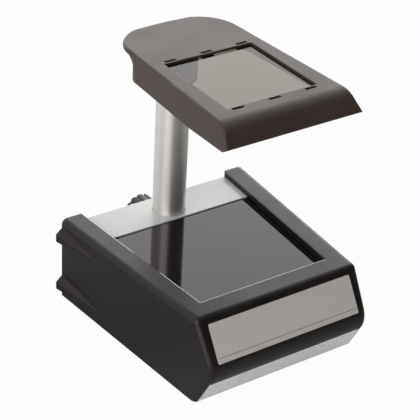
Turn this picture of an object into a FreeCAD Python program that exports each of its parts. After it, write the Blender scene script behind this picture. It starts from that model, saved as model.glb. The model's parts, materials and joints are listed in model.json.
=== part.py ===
import FreeCAD
import Part
import Sketcher
import math
import os
from types import SimpleNamespace

# A polarised-light strain tester for spectacle lenses. A light box stands on four feet; its top is a
# polarising glass over an opal diffuser. A tube column behind the glass carries a hooded head with a
# second polariser. +X is the operator's right, +Y the rear, +Z up. The origin is on the table, midway
# between the foremost line of the case and the end of the knob. Lengths are millimetres.

SIZES = [
    # the moulded case
    ("base_length", 216.6, "case, rear to where its two front faces would meet"),
    ("case_ahead", 15.06, "middle of the case ahead of the origin, to leave room for the knob"),
    ("rear_width", 197.6, "case width at the rear"),
    ("front_width", 164.45, "case width where its two front faces would meet"),
    ("case_height", 81.2, "case above the pan's underside"),
    ("foot_height", 3.0, "rubber foot below the pan"),
    ("front_rake", 26.6, "top front edge behind the meeting of the front faces"),
    ("chin_height", 38.1, "meeting of the front faces above the pan's underside"),
    ("chin_setback", 21.0, "lower front edge behind the meeting of the front faces"),
    ("chin_lip", 10.9, "front wall below the meeting of the front faces"),
    ("chin_round", 20.0, "rounding where the front faces meet"),
    ("case_wall", 3.0, "wall of the moulding"),
    ("edge_round", 5.5, "rounding of the outer edges"),
    ("opening_rear", 156.8, "width of the top opening at the rear"),
    ("opening_front", 132.1, "width of the top opening at its front"),
    ("front_rail", 45.6, "opening behind the meeting of the front faces"),
    ("recess", 5.9, "deck plate below the rails"),
    ("skirt_depth", 16.0, "walls that hang round the opening"),
    ("ledge_width", 5.0, "ledge under the glass"),
    ("ledge_thick", 2.5, "thickness of that ledge"),
    ("rib_width", 19.5, "side rib at its root, at the rear"),
    ("rib_flat", 7.5, "flat of the side rib"),
    ("rib_depth", 6.0, "side rib proud of the wall"),
    ("rib_run", 62.0, "length of the side rib"),
    ("rib_high", 63.4, "upper rib above the pan's underside"),
    ("rib_low", 12.9, "lower rib above the pan's underside"),
    ("boss_radius", 4.0, "screw boss in the case"),
    ("boss_inset", 12.0, "screw boss in from the side"),
    # sheet metal, glass and light box
    ("pan_sheet", 1.2, "galvanised sheet of the pan"),
    ("fit_gap", 0.3, "clearance between fitted pieces"),
    ("plate_sheet", 1.2, "sheet of the deck plate"),
    ("plate_length", 41.5, "deck plate from its front edge to the rear"),
    ("plate_fold", 11.0, "fold of the deck plate down the rear"),
    ("column_ring", 0.3, "clearance of the plate round the column"),
    ("glass_thick", 3.0, "polarising glass"),
    ("opal_thick", 3.0, "opal diffuser"),
    ("glass_gap", 1.7, "glass to the walls of the opening"),
    ("glass_tuck", 2.4, "glass under the deck plate"),
    ("panel_thick", 1.5, "rear panel"),
    ("panel_inset", 1.5, "rear panel ahead of the case's rear"),
    ("bracket_width", 12.0, "panel bracket"),
    ("bracket_height", 62.0, "panel bracket"),
    ("bracket_sheet", 1.5, "panel bracket"),
    ("reflector_width", 156.0, "reflector across"),
    ("reflector_depth", 104.0, "reflector front to back, at the top"),
    ("reflector_floor", 66.0, "reflector front to back, at the floor"),
    ("reflector_sheet", 1.0, "reflector sheet"),
    ("lamp_ahead", 114.5, "lamp ahead of the case's rear"),
    ("lamp_radius", 8.0, "lamp tube"),
    ("lamp_length", 136.0, "lamp between its pins"),
    ("lamp_cap", 8.0, "metal cap of the lamp"),
    ("lamp_pin", 6.5, "lamp pin"),
    ("pin_radius", 1.15, "radius of the lamp pin"),
    ("pin_pitch", 5.0, "between the two pins"),
    ("lamp_over_floor", 15.0, "lamp axis over the reflector"),
    ("holder_width", 18.0, "lamp holder"),
    ("holder_thick", 9.0, "lamp holder along the lamp"),
    ("ballast_left", 36.0, "ballast left of the middle"),
    ("ballast_length", 86.0, "ballast over its feet"),
    ("ballast_width", 40.0, "ballast front to back"),
    ("ballast_height", 27.0, "ballast"),
    ("starter_right", 30.0, "starter right of the middle"),
    ("starter_radius", 10.5, "starter"),
    ("starter_length", 30.0, "starter"),
    ("terminal_right", 44.0, "terminal block right of the middle"),
    ("terminal_length", 46.0, "terminal block"),
    ("terminal_height", 16.0, "terminal block"),
    ("terminal_pitch", 9.0, "between two terminals"),
    # column and its clamp
    ("column_radius", 15.0, "column tube, outside"),
    ("column_wall", 2.0, "column tube wall"),
    ("column_inset", 23.25, "column axis ahead of the case's rear"),
    ("column_floor", 3.3, "column over the floor of its socket"),
    ("slide_gap", 0.06, "running clearance of round fits"),
    ("socket_radius", 20.0, "column socket, outside"),
    ("socket_height", 60.0, "column socket"),
    ("socket_flange", 5.0, "foot of the socket"),
    ("flange_width", 62.0, "foot of the socket across"),
    ("flange_depth", 38.0, "foot of the socket front to back"),
    ("bush_radius", 9.0, "threaded bush at the rear of the socket"),
    ("bush_reach", 3.0, "bush behind the case's rear"),
    ("clamp_height", 50.0, "clamp screw above the pan's underside"),
    ("screw_radius", 4.0, "clamp screw"),
    ("pad_thick", 2.5, "clamp pad"),
    ("knob_radius", 15.0, "knob"),
    ("knob_thick", 17.0, "knob along its axis"),
    ("knob_gap", 9.7, "knob rim behind the case's rear"),
    ("neck_radius", 8.0, "neck of the knob"),
    ("neck_length", 2.2, "neck of the knob"),
    ("flute_radius", 2.3, "hollow between two lobes of the knob"),
    ("flute_count", 12.0, "lobes of the knob"),
    # head
    ("head_height", 254.6, "top of the head above the table"),
    ("head_front", 172.6, "lip of the head ahead of the column axis"),
    ("head_width", 113.3, "top of the head across, at the window's rear edge"),
    ("head_taper", 0.0517, "each side of the head draws in, per millimetre"),
    ("side_end", 9.0, "side of the top ends, ahead of the column"),
    ("corner_out", 46.2, "fullest of the top's rear corner, out from the middle"),
    ("corner_back", 10.4, "fullest of the top's rear corner, behind the column"),
    ("rear_out", 29.0, "top's rear edge begins, out from the middle"),
    ("rear_back", 21.6, "top's rear edge begins, behind the column"),
    ("head_rear", 23.1, "top's rear edge at the middle, behind the column"),
    ("lip_thick", 3.4, "edge of the top"),
    ("sweep_foot", 11.8, "hollow under the rear edge ends, below the top"),
    ("skirt_drop", 20.8, "head's skirt below the top"),
    ("skirt_flare", 4.9, "skirt outward of the top, at its foot"),
    ("skirt_splay", 1.5, "skirt's foot further outward at the front end"),
    ("skirt_end", 30.0, "side of the skirt ends, ahead of the column"),
    ("skirt_corner_out", 56.1, "fullest of the skirt's rear corner, out from the middle"),
    ("skirt_corner_ahead", 20.6, "fullest of the skirt's rear corner, ahead of the column"),
    ("skirt_rear_out", 49.0, "skirt's rear wall begins, out from the middle"),
    ("skirt_rear_ahead", 13.8, "skirt's rear wall begins, ahead of the column"),
    ("skirt_rear", 19.0, "skirt's rear wall at the middle, behind the column"),
    ("brow_bend", 159.6, "bend of the front ahead of the column"),
    ("brow_drop", 15.5, "front lip below the top"),
    ("brow_round", 17.0, "rounding of that bend"),
    ("belly_start", 118.0, "skirt's foot begins to rise, ahead of the column"),
    ("toe_drop", 18.3, "skirt's foot below the top, where the rise ends"),
    ("toe_back", 3.6, "end of the rise behind the lip"),
    ("head_wall", 2.4, "wall of the head moulding"),
    ("top_wall", 2.2, "top of the head moulding"),
    ("head_edge", 2.4, "rounding of the head's top edge"),
    ("window_width", 88.6, "window"),
    ("window_rear", 48.9, "window's rear edge ahead of the column"),
    ("window_front", 139.9, "window's front edge ahead of the column"),
    ("film_thick", 1.0, "polarising film"),
    ("film_lap", 1.3, "film beyond the window's ends"),
    ("film_side", 4.0, "film beyond the window's sides"),
    ("slot_length", 11.5, "core slot over a hook"),
    ("slot_width", 3.0, "core slot"),
    ("slot_gap", 1.3, "core slot from the window"),
    ("slot_pitch", 36.0, "between two slots"),
    ("hook_thick", 1.4, "snap hook"),
    ("boss_outer", 20.4, "column boss of the head"),
    ("boss_drop", 43.3, "column boss below the top"),
    ("boss_roof", 4.6, "column boss closed above"),
    # front plate, rear panel fittings
    ("label_width", 146.8, "front plate"),
    ("label_height", 34.4, "front plate up the slope"),
    ("label_thick", 0.8, "front plate"),
    ("label_rise", 26.6, "front plate's middle up the slope"),
    ("label_corner", 1.0, "corner of the front plate"),
    ("fitting_height", 34.0, "inlet and switch above the pan's underside"),
    ("fitting_spread", 58.0, "inlet and switch out from the middle"),
    ("inlet_width", 27.0, "inlet body"),
    ("inlet_height", 20.0, "inlet body"),
    ("inlet_depth", 17.0, "inlet body inside"),
    ("inlet_flange", 48.0, "inlet flange across"),
    ("inlet_lip", 2.5, "inlet flange thickness"),
    ("inlet_wall", 1.6, "inlet wall"),
    ("switch_width", 15.0, "switch bezel"),
    ("switch_height", 21.0, "switch bezel"),
    ("switch_depth", 16.0, "switch body inside"),
    ("bezel_thick", 1.6, "switch bezel"),
    ("rocker_pin", 1.2, "pivot of the rocker"),
    ("rocker_tilt", 8.0, "rocker at rest"),
    # small hardware
    ("foot_radius", 7.0, "rubber foot"),
    ("foot_inset", 22.0, "rubber foot in from the edges"),
    ("small_screw", 1.5, "screw shank"),
    ("screw_head", 2.8, "screw head"),
    ("head_rise", 1.6, "height of a screw head"),
    ("foot_screw_long", 6.0, "foot screw under its head"),
    ("case_screw_long", 14.0, "case screw under its head"),
]


class Size:
    """A number from the sheet together with the formula that the document keeps for it."""

    def __init__(self, number, formula=None):
        self.number = float(number)
        self.formula = formula or repr(float(number))

    def combined(self, sign, other, number):
        return Size(number, "(%s %s %s)" % (self.formula, sign, other.formula))

    def __add__(self, other):
        other = size(other)
        return self.combined("+", other, self.number + other.number)

    def __sub__(self, other):
        other = size(other)
        return self.combined("-", other, self.number - other.number)

    def __mul__(self, other):
        other = size(other)
        return self.combined("*", other, self.number * other.number)

    def __truediv__(self, other):
        other = size(other)
        return self.combined("/", other, self.number / other.number)

    def __neg__(self):
        return Size(-self.number, "(0 - %s)" % self.formula)

    def __radd__(self, other):
        return size(other) + self

    def __rsub__(self, other):
        return size(other) - self

    def __rmul__(self, other):
        return size(other) * self


def size(value):
    return value if isinstance(value, Size) else Size(value)


def root(value):
    return Size(math.sqrt(value.number), "sqrt(%s)" % value.formula)


doc = FreeCAD.newDocument("StrainTester")
sheet = doc.addObject("Spreadsheet::Sheet", "Sizes")
for row, (alias, value, note) in enumerate(SIZES, start=1):
    sheet.set("A%d" % row, alias)
    sheet.set("B%d" % row, repr(value))
    sheet.set("C%d" % row, note)
    sheet.setAlias("B%d" % row, alias)
doc.recompute()
s = SimpleNamespace(**{alias: Size(value, "Sizes.%s" % alias) for alias, value, note in SIZES})

nodes = {}


# ---- small helpers: every size they take is bound to its formula ----

def bind(thing, prop, value):
    thing.setExpression(prop, size(value).formula)


def place(thing, at, toward="up"):
    turns = {"up": (1, 0, 0, 0), "rear": (1, 0, 0, -90), "front": (1, 0, 0, 90),
             "right": (0, 1, 0, 90), "left": (0, 1, 0, -90), "down": (1, 0, 0, 180)}
    x, y, z, angle = turns[toward]
    turn = FreeCAD.Rotation(FreeCAD.Vector(x, y, z), angle)
    base = FreeCAD.Vector(*[size(value).number for value in at])
    thing.Placement = FreeCAD.Placement(base, turn)
    for letter, value in zip("xyz", at):
        bind(thing, "Placement.Base.%s" % letter, value)
    return thing


def cylinder(name, radius, height, at, toward="up"):
    thing = doc.addObject("Part::Cylinder", name)
    bind(thing, "Radius", radius)
    bind(thing, "Height", height)
    return place(thing, at, toward)


def cone(name, radius, top_radius, height, at, toward="up"):
    thing = doc.addObject("Part::Cone", name)
    bind(thing, "Radius1", radius)
    bind(thing, "Radius2", top_radius)
    bind(thing, "Height", height)
    return place(thing, at, toward)


def box(name, across, deep, tall, low_corner):
    thing = doc.addObject("Part::Box", name)
    bind(thing, "Length", across)
    bind(thing, "Width", deep)
    bind(thing, "Height", tall)
    return place(thing, low_corner)


def centred_box(name, across, deep, tall, x, y, low_z):
    return box(name, across, deep, tall, (x - size(across) / 2, y - size(deep) / 2, low_z))


def fuse(name, things):
    thing = doc.addObject("Part::MultiFuse", name)
    thing.Shapes = things
    return thing


def cut(name, base, tools):
    thing = doc.addObject("Part::Cut", name)
    thing.Base = base
    thing.Tool = tools[0] if len(tools) == 1 else fuse(name + "_tools", tools)
    return thing


def group(name, things):
    thing = doc.addObject("Part::Compound", name)
    thing.Links = things
    return thing


def node(thing, label):
    thing.Label = label
    nodes[label] = thing
    return thing


def new_body(name, base=None):
    body = doc.addObject("PartDesign::Body", name)
    if base is not None:
        body.BaseFeature = base
    return body


def sketch(body, name, plane="XY_Plane", height=0):
    """A sketch on one of the body's own planes. YZ_Plane has Y across and Z up; XZ_Plane faces the front."""
    flat = next(item for item in body.Origin.OriginFeatures if item.Role == plane)
    sk = body.newObject("Sketcher::SketchObject", name)
    sk.AttachmentSupport = [(flat, "")]
    sk.MapMode = "FlatFace"
    bind(sk, "AttachmentOffset.Base.z", height)
    return sk


def outline(sk, points):
    """A closed straight-sided outline whose corners are bound to their formulas."""
    first = sk.GeometryCount
    corners = [FreeCAD.Vector(size(across).number, size(up).number, 0) for across, up in points]
    count = len(corners)
    for index, corner in enumerate(corners):
        sk.addGeometry(Part.LineSegment(corner, corners[(index + 1) % count]), False)
    for index in range(count):
        sk.addConstraint(Sketcher.Constraint("Coincident", first + index, 2, first + (index + 1) % count, 1))
    for index, (across, up) in enumerate(points):
        pin_point(sk, first + index, 1, across, up)
    return sk


def pin_point(sk, geometry, vertex, across, up):
    """Ties a point of the sketch to its two formulas."""
    for kind, value in (("DistanceX", across), ("DistanceY", up)):
        value = size(value)
        number = sk.addConstraint(Sketcher.Constraint(kind, -1, 1, geometry, vertex, value.number))
        bind(sk, "Constraints[%d]" % number, value)


def curved_outline(sk, corners):
    """A closed outline; a corner's third entry is the point its arc passes through, or None for a line."""
    first = sk.GeometryCount
    points = [FreeCAD.Vector(size(across).number, size(up).number, 0) for across, up, via in corners]
    count = len(corners)
    for index, (across, up, via) in enumerate(corners):
        start, stop = points[index], points[(index + 1) % count]
        if via is None:
            sk.addGeometry(Part.LineSegment(start, stop), False)
        else:
            middle = FreeCAD.Vector(size(via[0]).number, size(via[1]).number, 0)
            sk.addGeometry(Part.Arc(start, middle, stop), False)
    heads, tails = [], []
    for index in range(count):
        begin = sk.getPoint(first + index, 1)
        forward = begin.distanceToPoint(points[index]) < 1e-6
        heads.append(1 if forward else 2)
        tails.append(2 if forward else 1)
    for index in range(count):
        follower = (index + 1) % count
        sk.addConstraint(Sketcher.Constraint("Coincident", first + index, tails[index], first + follower,
                                             heads[follower]))
    for index, (across, up, via) in enumerate(corners):
        pin_point(sk, first + index, heads[index], across, up)
        if via is not None:
            middle = FreeCAD.Vector(size(via[0]).number, size(via[1]).number, 0)
            mark = sk.addGeometry(Part.Point(middle), True)
            pin_point(sk, mark, 1, via[0], via[1])
            sk.addConstraint(Sketcher.Constraint("PointOnObject", mark, 1, first + index))
    return sk


def ring(sk, across, up, radius):
    """A circle bound by its centre and radius."""
    across, up, radius = size(across), size(up), size(radius)
    centre = FreeCAD.Vector(across.number, up.number, 0)
    index = sk.addGeometry(Part.Circle(centre, FreeCAD.Vector(0, 0, 1), radius.number), False)
    pin_point(sk, index, 3, across, up)
    number = sk.addConstraint(Sketcher.Constraint("Radius", index, radius.number))
    bind(sk, "Constraints[%d]" % number, radius)
    return sk


def oblong(sk, across, up, width, height):
    """A rectangle bound by its centre and its two sizes."""
    left, right = across - size(width) / 2, across + size(width) / 2
    low, high = up - size(height) / 2, up + size(height) / 2
    return outline(sk, [(left, low), (right, low), (right, high), (left, high)])


def pad(body, sk, length, down=False, both=False):
    feature = body.newObject("PartDesign::Pad", sk.Name + "_pad")
    feature.Profile = sk
    feature.SideType = "Symmetric" if both else "One side"
    feature.Reversed = down
    bind(feature, "Length", length)
    doc.recompute()
    return feature


def pocket(body, sk, length=None, up=False, both=False):
    """Cuts into the body; a cut that removes nothing is an error."""
    before = body.Shape.Volume
    feature = body.newObject("PartDesign::Pocket", sk.Name + "_cut")
    feature.Profile = sk
    feature.SideType = "Symmetric" if both else "One side"
    feature.Reversed = up
    if length is None:
        feature.Type = "ThroughAll"
    else:
        bind(feature, "Length", length)
    doc.recompute()
    if body.Shape.Volume > before - 0.01:
        raise RuntimeError("%s cut nothing" % sk.Name)
    return feature


def loft(body, sections, subtract=False, ruled=True):
    kind = "PartDesign::SubtractiveLoft" if subtract else "PartDesign::AdditiveLoft"
    feature = body.newObject(kind, sections[0].Name + "_loft")
    feature.Profile = sections[0]
    feature.Sections = sections[1:]
    feature.Ruled = ruled
    doc.recompute()
    return feature


def fillet(body, radius, wanted):
    base = body.Tip
    names = ["Edge%d" % (index + 1) for index, edge in enumerate(base.Shape.Edges) if wanted(edge)]
    if not names:
        raise RuntimeError("%s has no edge to round" % body.Name)
    feature = body.newObject("PartDesign::Fillet", body.Name + "_round")
    feature.Base = (base, names)
    bind(feature, "Radius", radius)
    doc.recompute()
    return feature


def shell(body, wall, opened):
    """Hollows the body to one wall thickness, open at the chosen faces."""
    base = body.Tip
    names = ["Face%d" % (index + 1) for index, face in enumerate(base.Shape.Faces) if opened(face)]
    feature = body.newObject("PartDesign::Thickness", body.Name + "_hollow")
    feature.Base = (base, names)
    bind(feature, "Value", wall)
    feature.Mode = "Skin"
    feature.Join = "Intersection"
    feature.Reversed = True
    doc.recompute()
    return feature


def ends(edge):
    return [vertex.Point for vertex in edge.Vertexes]


def near(value, target, slack=0.05):
    return abs(value - size(target).number) < slack


def edge_along(edge, axis, length=0.5):
    """True for an edge that runs mostly along the axis and is longer than length."""
    points = ends(edge)
    if len(points) < 2:
        return False
    step = points[1] - points[0]
    return step.Length > length and abs(getattr(step, axis)) > 0.9 * step.Length


def screws(label, places, toward, length, shank=None, head=None, rise=None):
    """A node of identical screws; each place is where the head's underside sits."""
    shank = shank or s.small_screw
    head = head or s.screw_head
    rise = rise or s.head_rise
    step = {"up": (0, 0, -1), "down": (0, 0, 1), "rear": (0, -1, 0), "front": (0, 1, 0),
            "right": (-1, 0, 0), "left": (1, 0, 0)}[toward]
    made = []
    for index, spot in enumerate(places):
        name = "%s_%d" % (label, index)
        start = tuple(size(value) + size(length) * side for value, side in zip(spot, step))
        body = cylinder(name + "_shank", shank, size(length), start, toward)
        top = cylinder(name + "_head", head, rise, spot, toward)
        made.append(fuse(name, [body, top]))
    return node(group(label + "_set", made), label)


# ---- shared places ----

REAR = s.base_length / 2 - s.case_ahead
FRONT = REAR - s.base_length
PAN_Z = s.foot_height
TOP_Z = PAN_Z + s.case_height
CHIN_Z = PAN_Z + s.chin_height
BROW_Y = FRONT + s.front_rake
TOE_Y = FRONT + s.chin_setback
OPENING_Y = FRONT + s.front_rail
PLATE_Z = TOP_Z - s.recess
GLASS_Z = PLATE_Z - s.plate_sheet
OPAL_Z = GLASS_Z - s.glass_thick
LEDGE_Z = OPAL_Z - s.opal_thick
SKIRT_Z = TOP_Z - s.skirt_depth
PLATE_Y = REAR - s.plate_length
COLUMN_Y = REAR - s.column_inset
PAN_FLOOR = PAN_Z + s.pan_sheet
PANEL_Y = REAR - s.panel_inset
PANEL_IN = PANEL_Y - s.panel_thick
CLAMP_Z = PAN_Z + s.clamp_height
HEAD_Z = s.head_height
FITTING_Z = PAN_Z + s.fitting_height
BEYOND = 5


def half_width(y):
    """Half the case's width: its sides draw in toward the front."""
    taper = (s.rear_width - s.front_width) / (2 * s.base_length)
    return s.front_width / 2 + (y - FRONT) * taper


def opening_half(y):
    taper = (s.opening_rear - s.opening_front) / (2 * (REAR - OPENING_Y))
    return s.opening_front / 2 + (y - OPENING_Y) * taper


def tapered(inset, y_front, y_rear, half):
    """The corners of a flat whose sides follow the case or its opening."""
    front_half = half(y_front) - inset
    rear_half = half(y_rear) - inset
    return [(-front_half, y_front), (front_half, y_front), (rear_half, y_rear), (-rear_half, y_rear)]


def trim_sides(body, name, inset, half=half_width):
    """Cuts a body of full width down to the taper of the case, from above and below."""
    sk = sketch(body, name)
    ahead, behind, far = FRONT - BEYOND, REAR + BEYOND, s.rear_width
    for side in (1, -1):
        outline(sk, [((half(ahead) - inset) * side, ahead), (far * side, ahead),
                     (far * side, behind), ((half(behind) - inset) * side, behind)])
    feature = pocket(body, sk, s.case_height * 4, both=True)
    return feature


# ---- the light box ----

def base_case():
    body = new_body("BaseCase")
    side = outline(sketch(body, "case_side", "YZ_Plane"),
                   [(REAR, PAN_Z), (REAR, TOP_Z), (BROW_Y, TOP_Z), (FRONT, CHIN_Z), (TOE_Y, PAN_Z)])
    pad(body, side, s.rear_width + 2 * BEYOND, both=True)
    trim_sides(body, "case_plan", 0)

    def open_face(face):
        normal = face.normalAt(0, 0)
        return normal.y > 0.99 or normal.z < -0.99

    def outer_edge(edge):
        points = ends(edge)
        outside = all(near(point.z, TOP_Z) or near(abs(point.x), half_width(size(point.y))) for point in points)
        on_rear = all(near(point.y, REAR) for point in points)
        on_foot = all(near(point.z, PAN_Z) for point in points)
        across = points[0].x * points[-1].x < 0 and not near(points[0].z, TOP_Z)
        return outside and not on_rear and not on_foot and not across

    fillet(body, s.chin_round, lambda edge: all(near(point.z, CHIN_Z) for point in ends(edge)))
    shell(body, s.case_wall, open_face)
    fillet(body, s.edge_round, outer_edge)

    # the front wall ends level, under its rounding, where the pan begins
    behind_wall = TOE_Y + s.case_wall * 2
    chin = outline(sketch(body, "case_chin", height=CHIN_Z - s.chin_lip),
                   tapered(s.case_wall * 0.97, FRONT - BEYOND, behind_wall, half_width))
    pocket(body, chin, s.chin_height)
    opening = outline(sketch(body, "case_opening", height=TOP_Z),
                      tapered(0, OPENING_Y, REAR + BEYOND, opening_half))
    pocket(body, opening, s.case_wall * 1.5)

    # walls that hang round the opening, the ledge under the glass and the blocks under the plate
    wall = s.case_wall
    skirt = sketch(body, "case_skirt", height=SKIRT_Z)
    in_rear, in_front = opening_half(REAR), opening_half(OPENING_Y)
    ahead = OPENING_Y - wall
    outline(skirt, [(-in_rear, REAR), (-in_front, OPENING_Y), (in_front, OPENING_Y), (in_rear, REAR),
                    (in_rear + wall, REAR), (in_front + wall, ahead), (-in_front - wall, ahead),
                    (-in_rear - wall, REAR)])
    pad(body, skirt, s.skirt_depth - wall / 2)
    ledge = sketch(body, "case_ledge", height=LEDGE_Z)
    reach, behind = s.ledge_width, REAR - s.plate_length
    lip_front, lip_rear = opening_half(OPENING_Y), opening_half(behind)
    into = wall / 2
    outline(ledge, [(-lip_rear - into, behind), (-lip_front - into, OPENING_Y - into),
                    (lip_front + into, OPENING_Y - into), (lip_rear + into, behind),
                    (lip_rear - reach, behind), (lip_front - reach, OPENING_Y + reach),
                    (reach - lip_front, OPENING_Y + reach), (reach - lip_rear, behind)])
    pad(body, ledge, s.ledge_thick, down=True)
    blocks = sketch(body, "case_blocks", height=GLASS_Z)
    start = PLATE_Y + s.glass_tuck + s.fit_gap
    for side in (1, -1):
        outline(blocks, [((opening_half(start) + into) * side, start), ((in_rear + into) * side, REAR - 5),
                         ((in_rear - reach) * side, REAR - 5), ((opening_half(start) - reach) * side, start)])
    pad(body, blocks, GLASS_Z - SKIRT_Z, down=True)

    # walls that close the rear ends of the two rails, above the rear panel
    closings = sketch(body, "case_rail_ends", height=SKIRT_Z)
    ahead = REAR - wall
    for side in (1, -1):
        outline(closings, [((in_rear + into) * side, ahead), ((in_rear + into) * side, REAR),
                           ((half_width(REAR) - into) * side, REAR), ((half_width(ahead) - into) * side, ahead)])
    pad(body, closings, s.skirt_depth - wall / 2)

    # side ribs, deepest at the rear and run out to nothing
    tip_y = REAR - s.rib_run
    for index, rib_z in enumerate((PAN_Z + s.rib_high, PAN_Z + s.rib_low)):
        for side, tag in ((1, "right"), (-1, "left")):
            sections = []
            for y, proud, scale in ((REAR, s.rib_depth, 1.0), (tip_y, size(0.05), 0.12)):
                sk = sketch(body, "rib_%s_%d_%d" % (tag, index, len(sections)), "XZ_Plane", -y)
                root_x, crest_x = half_width(y) - 1, half_width(y) + proud
                tall, flat = s.rib_width * scale / 2, s.rib_flat * scale / 2
                outline(sk, [(root_x * side, rib_z - tall), (crest_x * side, rib_z - flat),
                             (crest_x * side, rib_z + flat), (root_x * side, rib_z + tall)])
                sections.append(sk)
            loft(body, sections)

    # screw bosses, up from the pan to the underside of the top
    spots = case_boss_spots()
    bosses = sketch(body, "case_bosses", height=PAN_FLOOR + s.fit_gap)
    pilots = sketch(body, "case_pilots", height=PAN_FLOOR + s.fit_gap)
    for x, y in spots:
        ring(bosses, x, y, s.boss_radius)
        ring(pilots, x, y, s.small_screw + s.slide_gap)
    pad(body, bosses, TOP_Z - PAN_FLOOR - s.fit_gap - wall / 2)
    pocket(body, pilots, 16, up=True)

    def opening_rim(edge):
        middle = edge.CenterOfMass
        inside = all(abs(point.x) < opening_half(size(point.y)).number + 0.2 for point in ends(edge))
        return near(middle.z, TOP_Z) and inside and not near(middle.y, REAR)

    fillet(body, 0.6, opening_rim)
    return node(body, "base_case")


def case_boss_spots():
    """Middles of the four screw bosses, two a side."""
    places = []
    for y in (REAR - 26, BROW_Y + 14):
        for side in (1, -1):
            places.append(((half_width(y) - s.boss_inset) * side, y))
    return places


def foot_spots():
    places = []
    for y in (REAR - s.foot_inset, TOE_Y + s.foot_inset):
        for side in (1, -1):
            places.append(((half_width(y) - s.foot_inset) * side, y))
    return places


def socket_spots():
    return [((s.flange_width / 2 - 6) * side, COLUMN_Y + 8 * end) for side in (1, -1) for end in (1, -1)]


def chassis_pan():
    body = new_body("ChassisPan")
    inset = 0.8
    slope = s.chin_setback / s.chin_height
    rim_z = CHIN_Z - s.chin_lip - s.fit_gap
    rim_y = FRONT + inset + (CHIN_Z - rim_z) * slope
    side = outline(sketch(body, "pan_side", "YZ_Plane"),
                   [(PANEL_IN - s.fit_gap, PAN_Z), (PANEL_IN - s.fit_gap, rim_z),
                    (rim_y, rim_z), (TOE_Y + inset, PAN_Z)])
    pad(body, side, s.rear_width + 2 * BEYOND, both=True)
    trim_sides(body, "pan_plan", s.case_wall + s.fit_gap)
    shell(body, s.pan_sheet, lambda face: near(face.CenterOfMass.z, rim_z)
          or near(face.CenterOfMass.y, PANEL_IN - s.fit_gap))
    holes = sketch(body, "pan_holes", height=PAN_FLOOR)
    for x, y in case_boss_spots() + foot_spots() + socket_spots():
        ring(holes, x, y, s.small_screw + s.slide_gap)
    pocket(body, holes, s.pan_sheet * 1.5)
    return node(body, "chassis_pan")


def deck_plate():
    body = new_body("DeckPlate")
    sheet_t = s.plate_sheet
    fold_z = GLASS_Z - s.plate_fold
    side = outline(sketch(body, "deck_side", "YZ_Plane"),
                   [(PLATE_Y, GLASS_Z), (REAR - sheet_t, GLASS_Z), (REAR - sheet_t, fold_z),
                    (REAR, fold_z), (REAR, PLATE_Z), (PLATE_Y, PLATE_Z)])
    pad(body, side, s.rear_width, both=True)
    trim_sides(body, "deck_plan", s.fit_gap, opening_half)
    fillet(body, sheet_t * 0.9,
           lambda edge: all(near(p.y, REAR) and near(p.z, PLATE_Z) for p in ends(edge)))
    hole = ring(sketch(body, "deck_hole", height=PLATE_Z), 0, COLUMN_Y, s.column_radius + s.column_ring)
    pocket(body, hole, sheet_t * 2)
    return node(body, "deck_plate")


def pane(name, label, top_z, thick):
    """A flat pane in the opening, on the ledge and tucked under the deck plate."""
    body = new_body(name)
    rear_y = PLATE_Y + s.glass_tuck
    points = tapered(s.glass_gap, OPENING_Y + s.glass_gap, rear_y, opening_half)
    pad(body, outline(sketch(body, name + "_plan", height=top_z), points), thick, down=True)
    return node(body, label)


def rear_panel():
    low, high = PAN_Z + s.fit_gap, GLASS_Z - s.fit_gap
    skirt_half = opening_half(PANEL_IN) - s.ledge_width - s.fit_gap
    wide = half_width(PANEL_IN) - s.case_wall - s.fit_gap
    body = new_body("RearPanel")
    face = sketch(body, "panel_face", "XZ_Plane", -PANEL_Y)
    shoulder = SKIRT_Z - s.fit_gap
    outline(face, [(-wide, low), (wide, low), (wide, shoulder), (skirt_half, shoulder),
                   (skirt_half, high), (-skirt_half, high), (-skirt_half, shoulder), (-wide, shoulder)])
    pad(body, face, s.panel_thick)
    holes = sketch(body, "panel_holes", "XZ_Plane", -PANEL_Y)
    ring(holes, 0, CLAMP_Z, s.bush_radius + s.fit_gap)
    oblong(holes, -s.fitting_spread, FITTING_Z, s.inlet_width + 2 * s.fit_gap, s.inlet_height + 2 * s.fit_gap)
    oblong(holes, s.fitting_spread, FITTING_Z, s.switch_width - 2, s.switch_height - 2)
    for x, z in panel_screw_spots():
        ring(holes, x, z, s.small_screw + s.slide_gap)
    for x, z in inlet_screw_spots():
        ring(holes, x, z, s.small_screw + s.slide_gap)
    for column in range(-3, 4):
        oblong(holes, column * 6.0, PAN_Z + 14, 2.5, 14)
    pocket(body, holes, s.panel_thick * 1.5, up=True)
    return node(body, "rear_panel")


def bracket_x():
    """Middle of a panel bracket, clear of the pan's side."""
    return half_width(PANEL_IN) - s.case_wall - s.pan_sheet - s.bracket_width / 2 - 2.5


def panel_screw_spots():
    return [(bracket_x() * side, z) for side in (1, -1) for z in (PAN_Z + 16, PAN_Z + s.bracket_height - 2)]


def inlet_screw_spots():
    return [(s.inlet_flange / 2 * 0.82 * side - s.fitting_spread, FITTING_Z) for side in (1, -1)]


def panel_brackets():
    """Two folded brackets that stand on the pan and carry the rear panel."""
    made = []
    wide, thick = s.bracket_width, s.bracket_sheet
    for side in (1, -1):
        x = bracket_x() * side
        name = "bracket_%s" % ("right" if side > 0 else "left")
        tall = box(name + "_tall", wide, thick, s.bracket_height, (x - wide / 2, PANEL_IN - thick, PAN_FLOOR))
        foot = box(name + "_foot", wide, wide, thick, (x - wide / 2, PANEL_IN - wide, PAN_FLOOR))
        solid = fuse(name + "_solid", [tall, foot])
        holes = [cylinder(name + "_hole_%d" % index, s.small_screw + s.slide_gap, thick + 4,
                          (x, PANEL_IN - thick - 2, spot_z), "rear")
                 for index, spot_z in enumerate((PAN_Z + 16, PAN_Z + s.bracket_height - 2))]
        made.append(cut(name, solid, holes))
    return node(group("panel_bracket_set", made), "panel_brackets")


# ---- the lamp and its gear ----

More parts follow.
